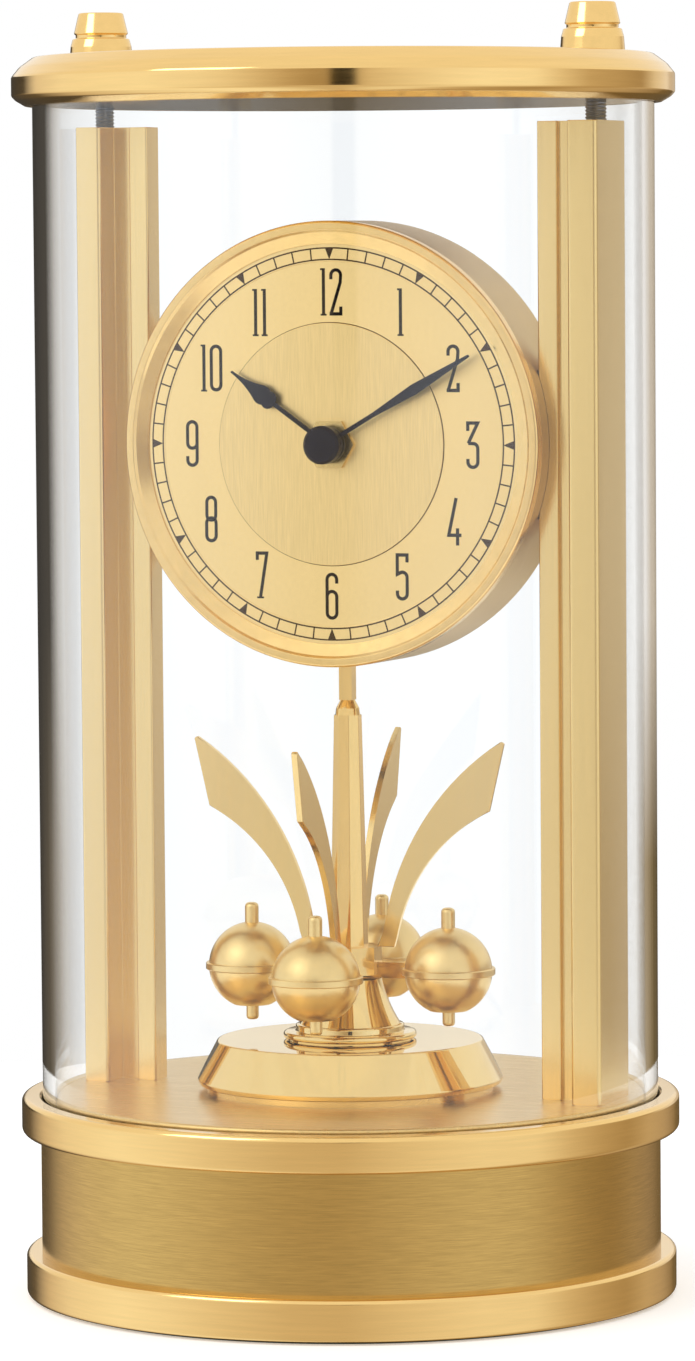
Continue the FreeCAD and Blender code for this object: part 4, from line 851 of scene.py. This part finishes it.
def make_camera():
    """A long lens a little to the clock's right, looking slightly down at its axis."""
    data = bpy.data.cameras.new("camera")
    data.sensor_fit = "VERTICAL"
    data.sensor_height = SENSOR
    data.lens = FOCAL_LENGTH * SENSOR / PHOTO_HEIGHT
    data.clip_start, data.clip_end = CLIP_NEAR, CLIP_FAR
    camera = bpy.data.objects.new("camera", data)
    bpy.context.scene.collection.objects.link(camera)
    sine, cosine = math.sin(CAMERA_AZIMUTH), math.cos(CAMERA_AZIMUTH)
    forward = Vector((-sine * math.cos(CAMERA_TILT), cosine * math.cos(CAMERA_TILT),
                      -math.sin(CAMERA_TILT)))
    right = Vector((cosine, sine, 0))
    up = right.cross(forward)
    rolled_right = right * math.cos(CAMERA_ROLL) + up * math.sin(CAMERA_ROLL)
    rolled_up = up * math.cos(CAMERA_ROLL) - right * math.sin(CAMERA_ROLL)
    pose = Matrix((rolled_right, rolled_up, -forward)).transposed().to_4x4()
    pose.translation = (sine * CAMERA_DISTANCE, -cosine * CAMERA_DISTANCE, CAMERA_HEIGHT)
    camera.matrix_world = pose
    bpy.context.scene.camera = camera


# What polished metal sees around the clock: (degrees from the front towards the right, brightness).
STUDIO_WALLS = [(-180, 0.65), (-168, 0.60), (-160, 0.12), (-150, 0.05), (-122, 0.08), (-110, 0.85),
                (-90, 1.02), (-50, 1.06), (-28, 1.00), (-16, 0.90), (-6, 0.76), (4, 0.58),
                (13, 0.46), (22, 0.48), (32, 0.78), (44, 0.90), (60, 1.02), (72, 1.08),
                (92, 1.04), (104, 0.82), (117, 0.60), (132, 0.54), (148, 0.44), (160, 0.80),
                (174, 0.90), (179, 0.65)]
# What low metal sees: the pale table in front of the clock and the darker one behind it.
TABLE = [(-180, 0.20), (-150, 0.05), (-128, 0.12), (-112, 0.70), (-95, 0.95), (-66, 1.08),
         (-45, 1.00), (-24, 0.85), (0, 0.72), (20, 0.70), (45, 0.85), (70, 0.97), (90, 0.95),
         (105, 0.72), (120, 0.55), (135, 0.45), (150, 0.60), (165, 0.50), (178, 0.30)]
TABLE_FAR, TABLE_NEAR = -0.06, -0.10
# What is seen through the glass: a white backdrop straight behind, with grey flags beside it.
BACKDROP = [(-180, 0.60), (-172.5, 0.90), (-170, 1.50), (-166, 1.00), (-163, 0.98),
            (-159.5, 1.08), (-157, 1.12), (-154, 1.05), (-151, 1.00), (-147, 0.72),
            (-142, 0.30), (-127, 0.08), (-112, 0.90), (-100, 1.0), (160, 1.0), (173, 0.55)]
# The dark gap between the softboxes, where the camera stands. Metal that sees the table misses it.
GAP_HEADING, GAP_CORE, GAP_EDGE, GAP_SHADE = 22.8, 3.4, 5.4, 0.01
GAP_BOTTOM, GAP_TOP = -0.030, -0.015
CEILING_START, CEILING_FULL = 0.09, 0.12
CEILING = (1.0, 0.97, 0.92, 1)


def warm_grey(level):
    """Light that has bounced between gold parts is warmer the darker it is, unless it is black."""
    warmth = (1 - level) * min(1.0, max(level, 0.0) / 0.2)
    return (level, level * (1 - 0.40 * warmth), level * (1 - 0.90 * warmth), 1)


def plain_grey(level):
    return (level, level, level, 1)


def make_world():
    """A white room. Polished metal sees softboxes and dark gaps between them instead."""
    world = bpy.data.worlds.new("studio")
    world.use_nodes = True
    bpy.context.scene.world = world
    tree = world.node_tree
    tree.nodes.clear()

    def node(kind, **inputs):
        made = tree.nodes.new(kind)
        for socket, value in inputs.items():
            target = made.inputs[int(socket[1:])] if socket[1:].isdigit() else made.inputs[socket]
            if isinstance(value, bpy.types.NodeSocket):
                tree.links.new(value, target)
            else:
                target.default_value = value
        return made

    def maths(operation, first, second=0.0):
        made = node("ShaderNodeMath", _0=first, _1=second)
        made.operation = operation
        return made.outputs[0]

    def around(share, levels, tint):
        """A colour that depends on the heading, from a list of (degrees, brightness)."""
        ramp = node("ShaderNodeValToRGB", Fac=share)
        elements = ramp.color_ramp.elements
        elements.remove(elements[-1])
        for index, (degrees, level) in enumerate(levels):
            spot = (degrees + 180) / 360
            element = elements[0] if index == 0 else elements.new(spot)
            element.position = spot
            element.color = tint(level)
        return ramp.outputs["Color"]

    def mixed(factor, first, second):
        made = node("ShaderNodeMix", Factor=factor, _6=first, _7=second)
        made.data_type = "RGBA"
        return made.outputs[2]

    direction = node("ShaderNodeTexCoord").outputs["Generated"]
    x, y, z = node("ShaderNodeSeparateXYZ", Vector=direction).outputs
    turn = maths("ARCTAN2", x, maths("MULTIPLY", y, -1.0))
    share = maths("ADD", maths("DIVIDE", turn, 2 * math.pi), 0.5)
    walls = around(share, STUDIO_WALLS, warm_grey)
    aside = maths("ABSOLUTE", maths("SUBTRACT", turn, math.radians(GAP_HEADING)))
    shade = node("ShaderNodeMapRange", Value=aside, _1=math.radians(GAP_CORE),
                 _2=math.radians(GAP_EDGE), _3=GAP_SHADE, _4=1.0).outputs[0]
    high = node("ShaderNodeMapRange", Value=z, _1=GAP_BOTTOM, _2=GAP_TOP, _3=0.0, _4=1.0).outputs[0]
    gap = node("ShaderNodeMix", Factor=high, _2=1.0, _3=shade).outputs[0]
    gapped = node("ShaderNodeVectorMath", _0=walls, _3=gap)
    gapped.operation = "SCALE"
    low = node("ShaderNodeMapRange", Value=z, _1=TABLE_FAR, _2=TABLE_NEAR, _3=0.0, _4=1.0).outputs[0]
    upright = mixed(low, gapped.outputs[0], around(share, TABLE, warm_grey))
    overhead = node("ShaderNodeMapRange", Value=z, _1=CEILING_START, _2=CEILING_FULL,
                    _3=0.0, _4=1.0).outputs[0]
    seen = mixed(overhead, upright, CEILING)

    rays = node("ShaderNodeLightPath").outputs
    through = maths("GREATER_THAN", rays["Transmission Depth"], 0.5)
    bounced = maths("GREATER_THAN", rays["Glossy Depth"], 0.5)
    white = (1.0, 1.0, 1.0, 1)
    ahead = mixed(through, white, around(share, BACKDROP, plain_grey))
    background = node("ShaderNodeBackground", Color=mixed(bounced, ahead, seen), Strength=1.0)
    output = node("ShaderNodeOutputWorld")
    tree.links.new(background.outputs[0], output.inputs["Surface"])


def softbox(name, spot, target, size, watts):
    """A soft lamp that metal reflects but the camera and the glass do not show."""
    data = bpy.data.lights.new(name, "AREA")
    data.shape = "RECTANGLE"
    data.size, data.size_y = size
    data.energy = watts
    lamp = bpy.data.objects.new(name, data)
    lamp.location = spot
    lamp.rotation_euler = (Vector(target) - Vector(spot)).to_track_quat("-Z", "Y").to_euler()
    lamp.visible_camera = False
    lamp.visible_transmission = False
    bpy.context.scene.collection.objects.link(lamp)


FLOOR_RADIUS, FLOOR_THICKNESS, FLOOR_SEGMENTS = 420, 2, 96
FLOOR_GLOW = 0.3
KEY_SPOT, KEY_TARGET = (-0.75, -1.25, 1.05), (0, 0, 0.18)
KEY_SIZE, KEY_WATTS = (0.9, 0.9), 7


def make_studio():
    floor = lathe("floor", [
        (0, 0), (FLOOR_RADIUS, 0), (FLOOR_RADIUS, -FLOOR_THICKNESS), (0, -FLOOR_THICKNESS)],
        segments=FLOOR_SEGMENTS)
    paint = Finish("pale_floor", Roughness=0.85, Emission_Color=(1, 1, 1, 1),
                   Emission_Strength=FLOOR_GLOW)
    mottle = paint.grain(paint.coordinates(), (0.01, 0.01, 0.01), 2.0)
    paint.feed(Base_Color=paint.blend(mottle, (0.86, 0.86, 0.86), (0.88, 0.88, 0.88)))
    floor.data.materials.append(paint.material)
    floor.visible_glossy = False
    softbox("key", KEY_SPOT, KEY_TARGET, KEY_SIZE, KEY_WATTS)


bpy.context.scene.view_settings.view_transform = "Standard"
finish_nodes()
make_camera()
make_world()
make_studio()
make_base()
make_glass()
make_lid()
make_columns()
make_bezel()
make_dial()
make_track()
make_numerals()
make_hand_cap()
make_post()
make_leaves()
make_pedestal()
